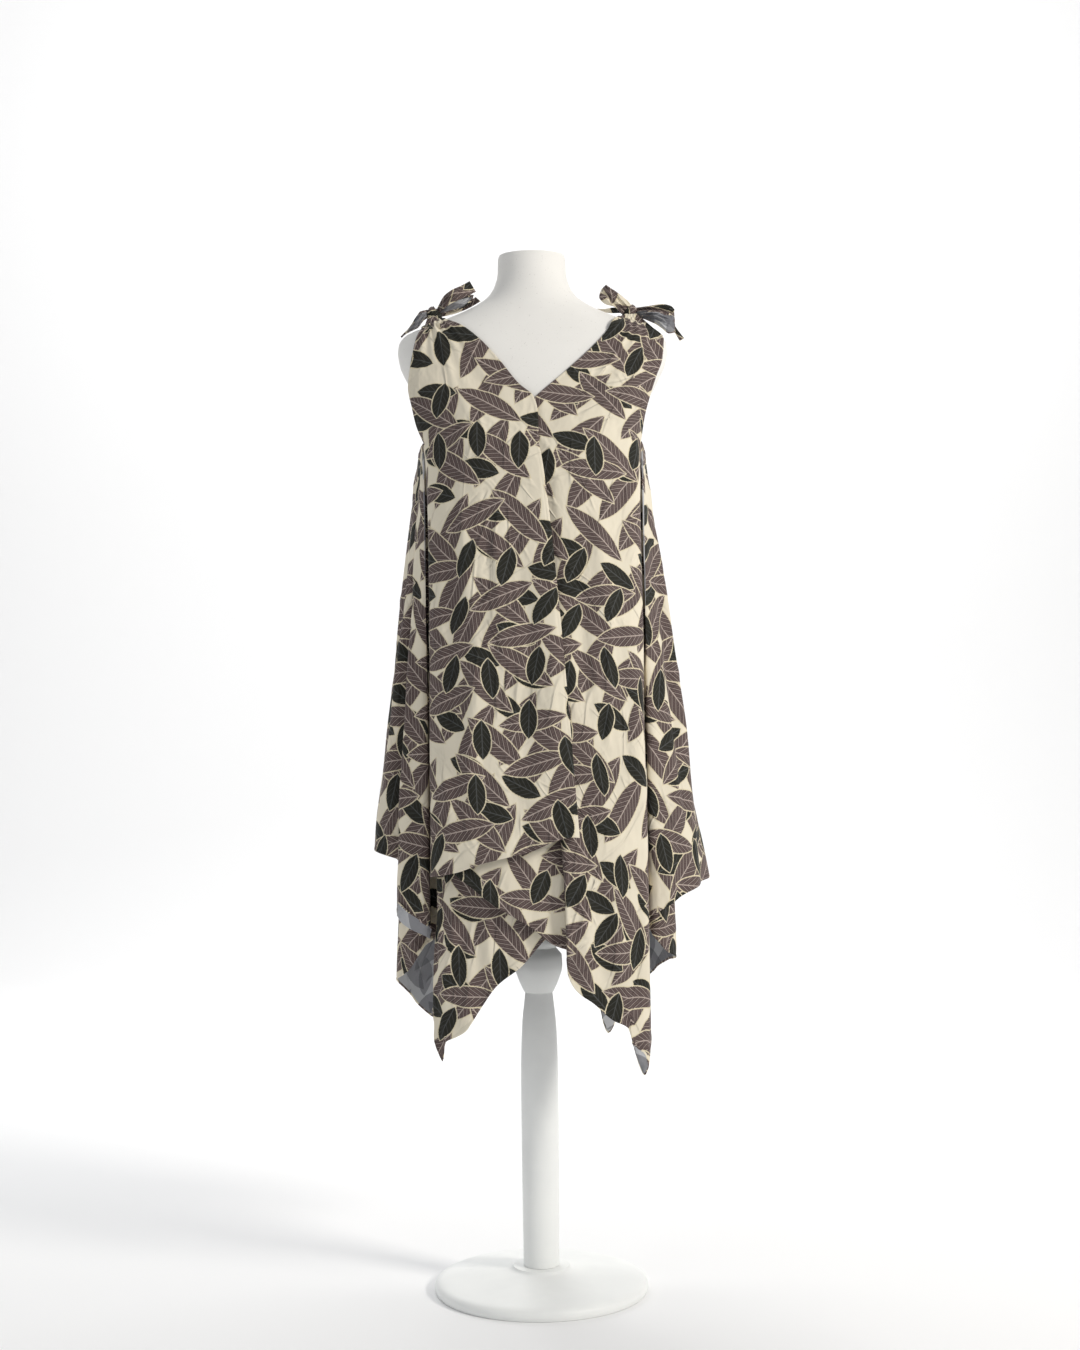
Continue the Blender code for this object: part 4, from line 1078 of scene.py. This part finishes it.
# Soft creases: both ends as seen from the front or the side, half width and height (below 0 is
# a trough).
CREASE_COLUMNS = "from_x from_z to_x to_z width height"
CREASES_FRONT_LEFT = table(
    CREASE_COLUMNS,
    (-118, 1165, -122, 800, 9, -4.1), (-100, 1205, -101, 1000, 7, 3.2),
    (-62, 1180, -66, 1030, 6, -2.7), (-50, 1175, -48, 900, 11, 4.1),
    (-15, 1080, -10, 760, 13, -4.3), (-85, 980, -88, 700, 12, 4.6), (20, 980, 34, 760, 9, 3.5),
    (-130, 905, -108, 845, 5, 3), (-122, 880, -104, 835, 4.5, -2.7),
    (-140, 800, -112, 690, 8, 4.1), (-30, 760, 20, 715, 9, 3), (40, 760, 52, 710, 6, -2.7),
)
CREASES_FRONT_RIGHT = table(
    CREASE_COLUMNS,
    (118, 1240, 112, 1150, 6, 3.2), (128, 1215, 136, 1110, 7, -3.5),
    (95, 1190, 104, 900, 10, 4.1), (60, 1120, 78, 800, 12, -4.3), (133, 1060, 139, 700, 10, 4.6),
    (116, 866, 94, 815, 4.5, 3.2), (109, 876, 86, 822, 4.5, -2.7), (104, 770, 82, 728, 5, 3),
    (93, 690, 76, 655, 4.5, 2.7), (88, 700, 70, 664, 4, -2.2), (105, 640, 118, 470, 11, 4.6),
    (140, 640, 144, 420, 7, -3.8), (60, 620, 70, 500, 9, 3.2),
)
CREASES_BACK = table(
    CREASE_COLUMNS,
    (118, 1190, 124, 820, 9, -4.1), (75, 1150, 78, 760, 12, 4.6), (40, 1200, 36, 900, 9, 3.5),
    (100, 900, 106, 520, 10, 4.6), (55, 860, 60, 560, 12, -4.6), (20, 960, 18, 620, 11, 3.5),
    (132, 860, 100, 790, 6, 3), (85, 700, 60, 640, 6, -2.7),
)
CREASES_SIDE = table(
    CREASE_COLUMNS,
    (-30, 1200, -52, 700, 10, 7.5), (-12, 1180, -22, 680, 11, -4.5), (6, 1210, 10, 760, 10, 3.5),
    (22, 1160, 36, 700, 11, -5.5), (40, 1190, 66, 740, 9, 6), (-62, 1040, -92, 640, 9, 5.5),
    (-48, 1100, -74, 640, 8, -6), (60, 900, 84, 640, 10, -5),
)
CREASES_TIER = table(
    CREASE_COLUMNS,
    (-30, 790, -34, 480, 9, 4.1), (4, 790, 0, 450, 10, -4.1), (36, 790, 30, 430, 9, 4.1),
)
CREASES_FRONT_UNDER = table(
    CREASE_COLUMNS,
    (-60, 700, -74, 470, 9, 4.1), (-96, 680, -112, 420, 9, -3.8), (-125, 640, -132, 400, 6, 3.2),
    (-30, 640, -52, 520, 8, 3),
)
CREASE_WANDER = (0.004, 5, 40)  # how far a crease strays from its line, and its waves
CREASE_ENDS = 0.3       # share of it that each end fades over

SMALL_CREASES = 46      # in each piece: short, soft ones between the main folds
SMALL_LEAN, SMALL_BEND = 0.35, (6.0, 0.6)   # how much their directions and bends differ
SMALL_WIDTH, SMALL_LENGTH, SMALL_HEIGHT = (0.0035, 0.0075), (0.015, 0.055), (0.0005, 0.0015)
WAVE_LENGTH, WAVE_HEIGHT, WAVE_REACH = 0.052, 0.0012, 0.045     # waves of the hems
WAVE_SECOND = (0.6, 0.61, 3)    # a second one: share of the height, waves to one, phase
DRAPE_HEIGHT, DRAPE_TOP, DRAPE_FADE = 0.0008, 1.16, 0.20        # slow unevenness below the bust
# Its two waves: share, radians a metre across, phase, sway, and radians and phase of the sway.
DRAPE_WAVES = ((1.0, 61, 1, 1.5, 7, 1), (0.7, 113, 2, 1.2, 11, 0))
SEWN_TAPER = 0.014      # beside a sewn edge the folds die out over this
ON_THE_FORM = 1.12      # above this height a panel lies on the form
LEAST_THERE, LEAST_BELOW = -0.0006, -0.01   # how deep its folds may go there and below


def gathered(grid, gathers, knot_x, from_neck_first):
    """Height of the gathers that spread from a knot."""
    distance = edge_distance(grid)
    share = distance["first"] / np.maximum(distance["first"] + distance["last"], 1e-9)
    if not from_neck_first:
        share = 1 - share
    far = np.linalg.norm(grid - np.array((knot_x, 0, KNOT_Z)), axis=-1)
    rise = np.clip((far - GATHER_START) / GATHER_RISE, 0, 1)
    height = np.zeros(grid.shape[:2])
    for at, breadth, length, stand in gathers:
        fade = np.exp(-(np.maximum(far - GATHER_FULL, 0) / length) ** GATHER_FADE)
        height += stand * np.exp(-((share - at) / breadth) ** 2) * rise * fade
    return height * np.clip(np.minimum(share, 1 - share) / GATHER_BORDER, 0, 1)


def creased(grid, creases, axis):
    """Height of the creases of a piece, seen along the other axis."""
    across, up = grid[..., axis], grid[..., 2]
    height = np.zeros(grid.shape[:2])
    stray, waves, phase = CREASE_WANDER
    for from_x, from_z, to_x, to_z, width, stand in creases:
        run_x, run_z = to_x - from_x, to_z - from_z
        length = math.hypot(run_x, run_z)
        t = ((across - from_x) * run_x + (up - from_z) * run_z) / length**2
        off = ((across - from_x) * run_z - (up - from_z) * run_x) / length
        off = off + stray * np.sin(t * waves + from_z * phase)
        ends = np.clip(t / CREASE_ENDS, 0, 1) * np.clip((1 - t) / CREASE_ENDS, 0, 1)
        height += stand * np.exp(-((off / width) ** 2)) * ends * ends * (3 - 2 * ends)
    return height


def small_creases(grid, seed):
    """Height of short soft creases, most of them upright."""
    distance = edge_distance(grid)
    first, top = distance["first"], distance["top"]
    chance = np.random.default_rng(seed)
    height = np.zeros(grid.shape[:2])
    for _ in range(SMALL_CREASES):
        row = chance.integers(0, grid.shape[0])
        across, down = first[row].mean() * chance.uniform(0, 2), top[row].mean()
        lean = chance.normal(0, SMALL_LEAN)
        width, length = chance.uniform(*SMALL_WIDTH), chance.uniform(*SMALL_LENGTH)
        u, v = first - across, top - down
        along = v * math.cos(lean) + u * math.sin(lean)
        off = u * math.cos(lean) - v * math.sin(lean)
        off = off + SMALL_BEND[0] * along**2 * chance.normal(0, SMALL_BEND[1])
        shape = np.exp(-((off / width) ** 2) - (along / length) ** 2)
        height += shape * chance.choice((-1, 1)) * chance.uniform(*SMALL_HEIGHT)
    return height


def hem_waves(grid, seed):
    """Soft waves that grow towards the hem."""
    distance = edge_distance(grid)
    phase = distance["first"] / WAVE_LENGTH + seed
    share, pace, start = WAVE_SECOND
    wave = np.sin(2 * np.pi * phase) + share * np.sin(2 * np.pi * phase * pace + seed * start)
    return WAVE_HEIGHT * wave * np.exp(-distance["hem"] / WAVE_REACH)


def drape(grid, seed):
    """Slow unevenness of cloth that hangs free."""
    distance = edge_distance(grid)
    across, down = distance["first"], distance["top"]
    slow = sum(share * np.sin(across * pace + phase * seed
                              + sway * np.sin(down * sway_pace + sway_phase * seed))
               for share, pace, phase, sway, sway_pace, sway_phase in DRAPE_WAVES)
    free = np.clip((DRAPE_TOP - grid[..., 2]) / DRAPE_FADE, 0, 1)
    return DRAPE_HEIGHT * slow * free


def moved_out(grid, outward, height):
    """Moves the points along the outer normal, less and less towards the sewn sides."""
    ease = np.clip(nearest_edge(grid, {"first": 0.0, "last": 0.0}) / SEWN_TAPER, 0, 1)
    ease = ease * ease * (3 - 2 * ease)
    return grid + (outward * normals(grid)) * (height * ease)[..., None]


# ---- pieces of the dress
SIDEWAYS_NEAR, FOREMOST, LEAST_OFF = 0.004, 0.006, 0.0005   # which points tell the depth of cloth
FLAP_SPACING = 1.3      # above 1, faces lie closer at the fold
FLAP_LIFT = (0.0010, 0.0020, 7)     # how far a flap stands off: at its fold, more, how soon
FLAP_WAVES = ((0.0012, 9, 1), (0.0007, 17, 3))      # heights and waves along it
FLAP_OFFSET = (0.2, 0.3)


def front_of(under, x, z):
    """Depth of the foremost cloth of a piece at places seen from the front."""
    points = under.reshape(-1, 3)
    depth = np.zeros(x.shape)
    for place in np.ndindex(x.shape):
        off = np.hypot(points[:, 0] - x[place], points[:, 2] - z[place])
        near = np.where(off < off.min() + SIDEWAYS_NEAR)[0]
        near = near[points[near, 1] < points[near, 1].min() + FOREMOST]
        weight = 1 / (off[near] + LEAST_OFF) ** 2
        depth[place] = (points[near, 1] * weight).sum() / weight.sum()
    return depth


def turned_back(node, under, looks):
    """A stretch of hem turned over in front of its own cloth, with the reverse side out."""
    fold_x, fold_z, free_x, free_z = refined(TURNED_BACK[node], FLAP_ROWS).T[:, :, None]
    t = np.linspace(0, 1, FLAP_FACES + 1)[None] ** FLAP_SPACING
    x, z = fold_x + (free_x - fold_x) * t, fold_z + (free_z - fold_z) * t
    along = np.linspace(0, 1, FLAP_ROWS + 1)[:, None]
    least, more, soon = FLAP_LIFT
    (wave, waves, phase), (ripple, ripples, slant) = FLAP_WAVES
    lift = least + more * (1 - np.exp(-soon * t))
    lift = lift + wave * t * np.sin(waves * along + phase)
    lift = lift + ripple * np.sin(ripples * along + slant * t)
    grid = np.stack([x, front_of(under, x, z) - lift, z], -1)
    flat = upright(flatten(grid), grid, FLAP_OFFSET)
    made = wall("cloth_" + node + "_turned_hem", grid, front_sign(grid), flat, looks,
                {"last": ALL_FREE}, (REVERSE_SIDE, PRINT))
    return made


def finished(node, grid, outward, offset, looks, edges,
             faces_looks=(PRINT, REVERSE_SIDE), plain=None):
    """The shell of a piece in place of its node, with its flat pattern as the map of its print.

    plain is the piece without its pleats, where those are too sharp to be laid out flat.
    """
    flat = flatten(grid if plain is None else plain)
    if plain is not None:
        flat[..., 0] *= surface(grid) / surface(plain)
    flat = upright(flat, grid, offset)
    made = wall("cloth_" + node, grid, outward, flat, looks, edges, faces_looks)
    stand_in(made, node)
    turned_over = [turned_back(node, grid, looks)] if node in TURNED_BACK else []
    cut_size(flat)
    round(surface(flat), 5)


def folds(grid, creases, axis, seed):
    """Height of all the folds of a hanging piece but its gathers."""
    height = creased(grid, creases, axis) + drape(grid, seed) + hem_waves(grid, seed)
    return height + small_creases(grid, int(seed * 10))


def panel(node, stations, spread, gap, gathers, creases, offset, looks, free, seed):
    """A front or back panel: its fan above the underarm and its fall below."""
    hanging = hang(stations, UNDERARM, LOW, armhole_rise, HANG_ROWS)
    hanging = clear_of_form(hanging, gap(hanging))
    above = fan(spread, hanging[0], gap)
    grid = np.concatenate([above, hanging])
    outward = outward_sign(grid)
    knot_x = math.copysign(KNOT_X, spread[0, 0])
    neck_first = abs(hanging[0, 0, 0]) < abs(hanging[0, -1, 0])
    height = gathered(grid, gathers, knot_x, neck_first) + folds(grid, creases, 0, seed)
    least = np.where(grid[..., 2] > ON_THE_FORM, LEAST_THERE, LEAST_BELOW)
    grid = moved_out(grid, outward, np.maximum(height, least))
    finished(node, grid, outward, offset, looks, free)


def upper_side(node, stations, creases, offset, looks, seed):
    """A side of the upper tier, between the front's fold and the back's."""
    grid = hang(stations, UNDERARM, LOW, armhole_rise, HANG_ROWS)
    grid = clear_of_form(grid, resting(grid))
    outward = outward_sign(grid)
    grid = moved_out(grid, outward, folds(grid, creases, 1, seed))
    finished(node, grid, outward, offset, looks, {"top": ALL_FREE, "hem": ALL_FREE})


def lower_tier(node, stations, creases, axis, offset, looks, seed):
    """A piece of the lower tier, sewn inside the piece above it."""
    grid = hang(stations, UNDER_TOP, UNDER_LOW, level_edge, UNDER_ROWS)
    outward = outward_sign(grid)
    grid = moved_out(grid, outward, folds(grid, creases, axis, seed))
    finished(node, grid, outward, offset, looks, {"hem": ALL_FREE})


# ---- bows
# How each end or loop is pleated: pleats across it, their height, and which face shows.
LEAF_LOOKS = {
    "bow_left_tail_upper": (2.5, 0.0017, PRINT),
    "bow_left_tail_lower": (2.0, 0.0018, REVERSE_SIDE),
    "bow_left_tail_rear": (1.5, 0.0008, PRINT),
    "bow_left_loop": (2.5, 0.0020, REVERSE_SIDE),
    "bow_right_loop_upper": (3.0, 0.0022, PRINT),
    "bow_right_loop_outer": (3.5, 0.0028, REVERSE_SIDE),
    "bow_right_loop_top": (2.5, 0.0018, PRINT),
    "bow_right_tail": (1.0, 0.0007, REVERSE_SIDE),
    "bow_right_tail_inner": (1.0, 0.0006, PRINT),
}
TUCK_IN, TUCK_OUT, TUCK_SLOPE = 0.62, 1.04, 0.55    # levels of a knot that a leaf's start keeps
PLEAT_MIDDLE, PLEAT_DEPTH, PLEAT_ROUND = 1.3, 2.6, 0.75
PLEAT_SHIFT = 0.37      # from leaf to leaf
PLEAT_DRIFT = ((0.10, 5, 1), (0.05, 11, 2))     # along a leaf: width, waves, phase for each leaf
FINE_PLEATS, FINE_SHIFT, FINE_SLANT = 2.3, 0.4, 1.1     # finer ones between: to one, shift, slant
FINE_SHARE, DENT_SHARE = 0.35, 0.55     # their height and that of the dents
DENTS = ((19, 4), (13, 7))  # their two waves: radians along a leaf and across it
KNOT_END, KNOT_GROWTH = 0.45, 4     # share of the pleats' height at the knot, and its growth
FAR_END = 0.35          # how much lower they are at the far end
EDGE_SHARE, EDGE_PLACES = 0.4, (0.12, 0.88)     # how high they are beside the edges
LEAF_STEP, LEAF_START = (0.31, 0.17), (0.045, 0.020)    # places of the leaves on the print

# Wraps of a knot, from the lowest to the highest: direction of the wrap's axis, half width as an
# angle, how high it stands, and its pleats.
KNOT_WRAPS = np.array((
    (0.90, 0.20, 0.35, 0.62, 0.0016, 3.0),
    (-0.45, 0.30, 0.84, 0.50, 0.0032, 2.5),
    (0.95, 0.10, -0.28, 0.36, 0.0046, 2.0),
))
KNOT_RINGS, KNOT_SIDES, KNOT_CAP = 110, 150, 0.04
KNOT_CORE = 0.74        # share of the knot under its wraps
KNOT_MAP, KNOT_PLACE = 0.014, 1.9       # scale of its print, and place in it by its x
WRAP_EDGE, WRAP_PLEAT = 0.22, 0.00042   # share of a wrap that rounds off; height of its pleats
WRAP_BEND = (0.3, 3, 9)     # how far the pleats bend, waves round the knot, phase by its x


def tucked_in(grid, x):
    """Draws the first rows of a leaf under the wraps of its knot."""
    offset = grid - np.array((x, 0, KNOT_Z))
    level = np.linalg.norm(offset / np.array(KNOT_HALF), axis=-1)
    rows = np.arange(len(grid))[:, None]
    wanted = np.clip(TUCK_IN + TUCK_SLOPE * rows / LEAF_ROWS, TUCK_IN, TUCK_OUT)
    near = rows <= LEAF_ROWS
    scale = np.where(near & ((level < wanted) | (rows == 0)), wanted / level, 1.0)
    return np.array((x, 0, KNOT_Z)) + offset * scale[..., None]


def pleated(phase):
    """Uneven folds with sharp creases between rounded backs."""
    return PLEAT_MIDDLE - PLEAT_DEPTH * np.abs(np.sin(np.pi * phase)) ** PLEAT_ROUND


def leaf(node, outline, number, looks):
    """One end or loop of a bow."""
    pleats, stand, front = LEAF_LOOKS[node]
    spans = len(outline) - 1
    ux, uz, lx, lz, y, lean, bulge = refined(outline, spans * LEAF_ROWS).T[:, :, None]
    t = np.linspace(0, 1, LEAF_FACES + 1)[None]
    down = (np.linspace(0, spans, spans * LEAF_ROWS + 1) / spans)[:, None]
    drift = sum(width * np.sin(waves * down + phase * number)
                for width, waves, phase in PLEAT_DRIFT)
    fold = pleated(pleats * t + PLEAT_SHIFT * number + drift * pleats)
    fine = pleated(pleats * FINE_PLEATS * t + FINE_SHIFT * number + FINE_SLANT * down)
    (waves, slant), (more, cross) = DENTS
    dents = np.sin(waves * down + slant * t + number) * np.sin(more * down + cross * t + number)
    fold = fold + FINE_SHARE * fine + DENT_SHARE * dents
    stand = stand * (KNOT_END + (1 - KNOT_END) * np.clip(down * KNOT_GROWTH, 0, 1))
    stand = stand * (1 - FAR_END * down)
    stand = stand * (EDGE_SHARE
                     + (1 - EDGE_SHARE) * np.sin(np.pi * np.clip(t, *EDGE_PLACES)))
    depth = y - lean * (t - 0.5) - bulge * (1 - (2 * t - 1) ** 2)
    plain = np.stack([ux + (lx - ux) * t, depth, uz + (lz - uz) * t], -1)
    grid = plain - (0, 1, 0) * (stand * fold)[..., None]
    x = math.copysign(KNOT_X, outline[0, 0])
    grid = tucked_in(clear_of_form(grid, FORM_GAP + SOLID_CLOTH), x)
    offset = tuple(np.array(LEAF_STEP) * number + LEAF_START)
    finished(node, grid, front_sign(grid), offset, looks,
             {"first": ALL_FREE, "last": ALL_FREE, "hem": ALL_FREE},
             (front, 1 - front), plain)


def ring_faces(levels, sides):
    """Faces of a closed solid through rings of points given from the top down."""
    number = np.arange(levels * sides).reshape(levels, sides)
    nxt = np.roll(number, -1, axis=1)
    faces = np.stack([number[:-1], number[1:], nxt[1:], nxt[:-1]], -1).reshape(-1, 4).tolist()
    return faces + [number[0].tolist(), number[-1, ::-1].tolist()]


def lump(name, x, look):
    """A tied knot: wraps of the strap round each other, with folds along them."""
    polar = np.linspace(KNOT_CAP, math.pi - KNOT_CAP, KNOT_RINGS)[:, None]
    turn = np.linspace(0, 2 * math.pi, KNOT_SIDES, endpoint=False)[None]
    ways = np.stack([np.sin(polar) * np.cos(turn), np.sin(polar) * np.sin(turn),
                     np.cos(polar) * np.ones_like(turn)], -1)
    seen = ways * (math.copysign(1, x), 1, 1)
    raised = np.zeros(ways.shape[:2])
    bend, waves, phase = WRAP_BEND
    for *axis, half_angle, height, pleats in KNOT_WRAPS:
        axis = np.array(axis) / np.linalg.norm(axis)
        side = np.arcsin(np.clip(seen @ axis, -1, 1)) / half_angle
        edge = np.clip((1 - np.abs(side)) / WRAP_EDGE, 0, 1)
        bent = side * pleats / 2 + bend * np.sin(waves * turn + x * phase)
        creases = WRAP_PLEAT * pleated(bent)
        raised = np.maximum(raised, height * np.sqrt(edge * (2 - edge)) + creases * edge)
    points = ways * (np.array(KNOT_HALF) * KNOT_CORE + raised[..., None]) + (x, 0, KNOT_Z)
    flat = np.stack([np.repeat(turn * KNOT_MAP, KNOT_RINGS, 0),
                     np.repeat(polar * KNOT_MAP, KNOT_SIDES, 1)], -1) + x * KNOT_PLACE
    return add_mesh(name, points, ring_faces(KNOT_RINGS, KNOT_SIDES), [look], flat)


# ---- form and stand
def loft(name, rings, look):
    """Closed solid through rings of points given from the top down."""
    rings = np.array(rings)
    made = add_mesh(name, rings, ring_faces(*rings.shape[:2]), [look])
    made.data.set_sharp_from_angle(angle=math.radians(40))
    return made


def section(height, turn):
    """Points of the form's section at a height."""
    width, front, back, square = form_at(height)
    x = width * np.sign(np.cos(turn)) * np.abs(np.cos(turn)) ** (2 / square)
    share = np.abs(np.sin(turn)) ** (2 / square)
    y = np.where(np.sin(turn) < 0, -front, back) * share
    y = y - np.where(np.sin(turn) < 0, bust(x, height) * share, 0)
    return np.stack([x, y, np.full_like(x, height)], -1)


def torso(look):
    """The form, from the top of its neck to its lower edge."""
    turn = 2 * np.pi * np.arange(FORM_SIDES) / FORM_SIDES
    known = column(FORM, FORM_COLUMNS, "height")
    levels = np.concatenate([np.linspace(known[-1], known[0], FORM_LEVELS), known])
    return loft("form_cover", [section(height, turn) for height in np.unique(levels)[::-1]], look)


def turned(name, look):
    """A round piece turned from a smooth profile given from the top down."""
    profile = PROFILES[name]
    keys = path_keys(profile)
    fine = []
    for start, end in zip(keys, keys[1:]):
        count = max(2, int((end - start) / TURNED_STEP))
        fine.extend(np.linspace(start, end, count, endpoint=False))
    turn = 2 * np.pi * np.arange(STAND_SIDES) / STAND_SIDES
    rings = [np.stack([radius * np.cos(turn), radius * np.sin(turn), np.full_like(turn, height)],
                      -1)
             for radius, height in curve(keys, profile, np.array([*fine, keys[-1]]))]
    return loft(name, rings, look)


# ---- stage
LIGHTS = (              # name, place, target, size, power, colour
    ("key", (3.0, -2.1, 2.6), (0, 0, 0.95), (0.9, 0.9), 98, (1.0, 0.965, 0.91)),
    ("fill", (-2.6, -2.0, 1.6), (0, 0, 0.9), (1.6, 1.8), 9, (0.93, 0.975, 1.0)),
    ("rim", (-0.8, 2.4, 2.8), (0, 0, 1.0), (1.6, 1.4), 26, (1, 1, 1)),
    ("wall_wash", (0, 1.4, 3.9), (0, 4.6, 1.0), (5.0, 0.6), 112, (1, 1, 1)),
)
WORLD_COLOUR, WORLD_STRENGTH = (0.97, 0.98, 1.0, 1), 0.42
SWEEP_REACH = 14.0      # the floor reaches this far to the sides and to the front
SWEEP_BACK = 4.6        # the wall of the backdrop, behind the object
SWEEP_ROUND = 1.6
SWEEP_LOW, SWEEP_TOP = -0.0005, 7.0
SWEEP_STEPS = 24
CAMERA_PLACE, CAMERA_ROLL = (0.0065, -3.0, 0.92), 0.0099
CAMERA_LENS, CAMERA_SENSOR = 53.33, 36.0


def area_light(name, place, target, size, power, colour):
    """A rectangular light that shines at its target."""
    lamp = bpy.data.lights.new(name, "AREA")
    lamp.shape = "RECTANGLE"
    lamp.size, lamp.size_y = size
    lamp.energy = power
    lamp.color = colour
    made = bpy.data.objects.new(name, lamp)
    made.location = place
    way = np.array(place) - np.array(target)
    flat = math.hypot(way[0], way[1])
    made.rotation_euler = (math.atan2(flat, way[2]), 0, math.atan2(way[0], -way[1]))
    bpy.context.scene.collection.objects.link(made)


def backdrop():
    """White floor that sweeps up into a wall behind the object."""
    path = [(-SWEEP_REACH, SWEEP_LOW)]
    for step in range(SWEEP_STEPS + 1):
        turn = math.pi / 2 * step / SWEEP_STEPS
        path.append((SWEEP_BACK - SWEEP_ROUND + SWEEP_ROUND * math.sin(turn),
                     SWEEP_LOW + SWEEP_ROUND * (1 - math.cos(turn))))
    path.append((SWEEP_BACK, SWEEP_TOP))
    points = np.array([(side * SWEEP_REACH, y, z) for y, z in path for side in (-1, 1)])
    faces = [(2 * i, 2 * i + 1, 2 * i + 3, 2 * i + 2) for i in range(len(path) - 1)]
    paper = Look("white_paper", 0.9, colour=PAPER).material
    add_mesh("backdrop", points, faces, [paper], ridden=False)


def stage():
    """Backdrop, light and camera."""
    scene = bpy.context.scene
    scene.view_settings.view_transform = "Standard"
    backdrop()
    world = bpy.data.worlds.new("studio")
    world.use_nodes = True
    world.node_tree.nodes["Background"].inputs["Color"].default_value = WORLD_COLOUR
    world.node_tree.nodes["Background"].inputs["Strength"].default_value = WORLD_STRENGTH
    scene.world = world
    for light in LIGHTS:
        area_light(*light)
    camera = bpy.data.cameras.new("camera")
    camera.sensor_fit = "VERTICAL"
    camera.sensor_height = CAMERA_SENSOR
    camera.lens = CAMERA_LENS
    view = bpy.data.objects.new("camera", camera)
    view.location = CAMERA_PLACE
    view.rotation_mode = "XYZ"
    view.rotation_euler = (Euler((math.pi / 2, 0, 0)).to_matrix()
                           @ Matrix.Rotation(-CAMERA_ROLL, 3, "Z")).to_euler()
    scene.collection.objects.link(view)
    scene.camera = view


def stand_in(made, node):
    """Hides the node's imported part, so that the finer piece stands where it was."""
    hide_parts(node)


def main():
    """Builds the stage and every piece.

    The pair in each call is the piece's place on the print, and its last number is the seed of
    its small folds.
    """
    looks = (crepe("printed_crepe", 0.80, 0.04, print_colour),
             crepe("crepe_reverse", 0.85, 0.10, reverse_colour))
    cover, white = jersey(), paint()
    stage()

    stand_in(torso(cover), "form_torso")
    for name in PROFILES:
        stand_in(turned(name, white), name.replace("turned", "stand"))

    panel("front_left", FRONT_OVER, FAN_LEFT, lapping, GATHERS_LEFT, CREASES_FRONT_LEFT,
          (-0.07, 0.93), looks, {"first": ALL_FREE, "last": ARMHOLE, "hem": ALL_FREE}, 0.3)
    panel("front_right", FRONT_RIGHT, FAN_RIGHT, resting, GATHERS_RIGHT, CREASES_FRONT_RIGHT,
          (0.05, 0.90), looks, {"first": ARMHOLE, "last": ALL_FREE, "hem": ALL_FREE}, 1.7)
    back_edges = {"first": ARMHOLE, "last": BACK_NECK, "hem": ALL_FREE}
    panel("back_right", back_stations(False), FAN_BACK, resting, GATHERS_BACK, CREASES_BACK,
          (0.70, 0.95), looks, back_edges, 3.9)
    panel("back_left", back_stations(True), mirrored(FAN_BACK, (0, 3)), resting, GATHERS_BACK,
          mirrored(CREASES_BACK, (0, 2)), (0.45, 0.95), looks, back_edges, 1.9)
    upper_side("side_upper_left", WING_LEFT, CREASES_SIDE, (1.3, 0.9), looks, 4.1)
    upper_side("side_upper_right", WING_RIGHT, CREASES_SIDE, (1.9, 0.9), looks, 4.1)
    lower_tier("front_lower_left", FRONT_UNDER, CREASES_FRONT_UNDER, 0, (2.5, 0.6), looks, 5.3)
    lower_tier("side_lower_left", UNDER_LEFT, CREASES_TIER, 1, (3.1, 0.6), looks, 6.1)
    lower_tier("side_lower_right", UNDER_RIGHT, CREASES_TIER, 1, (3.7, 0.6), looks, 6.1)
    for node, x in (("bow_left_knot", -KNOT_X), ("bow_right_knot", KNOT_X)):
        stand_in(lump("cloth_" + node, x, looks[PRINT]), node)
    for number, (node, outline) in enumerate(LEAVES.items()):
        leaf(node, outline, number, looks)


main()
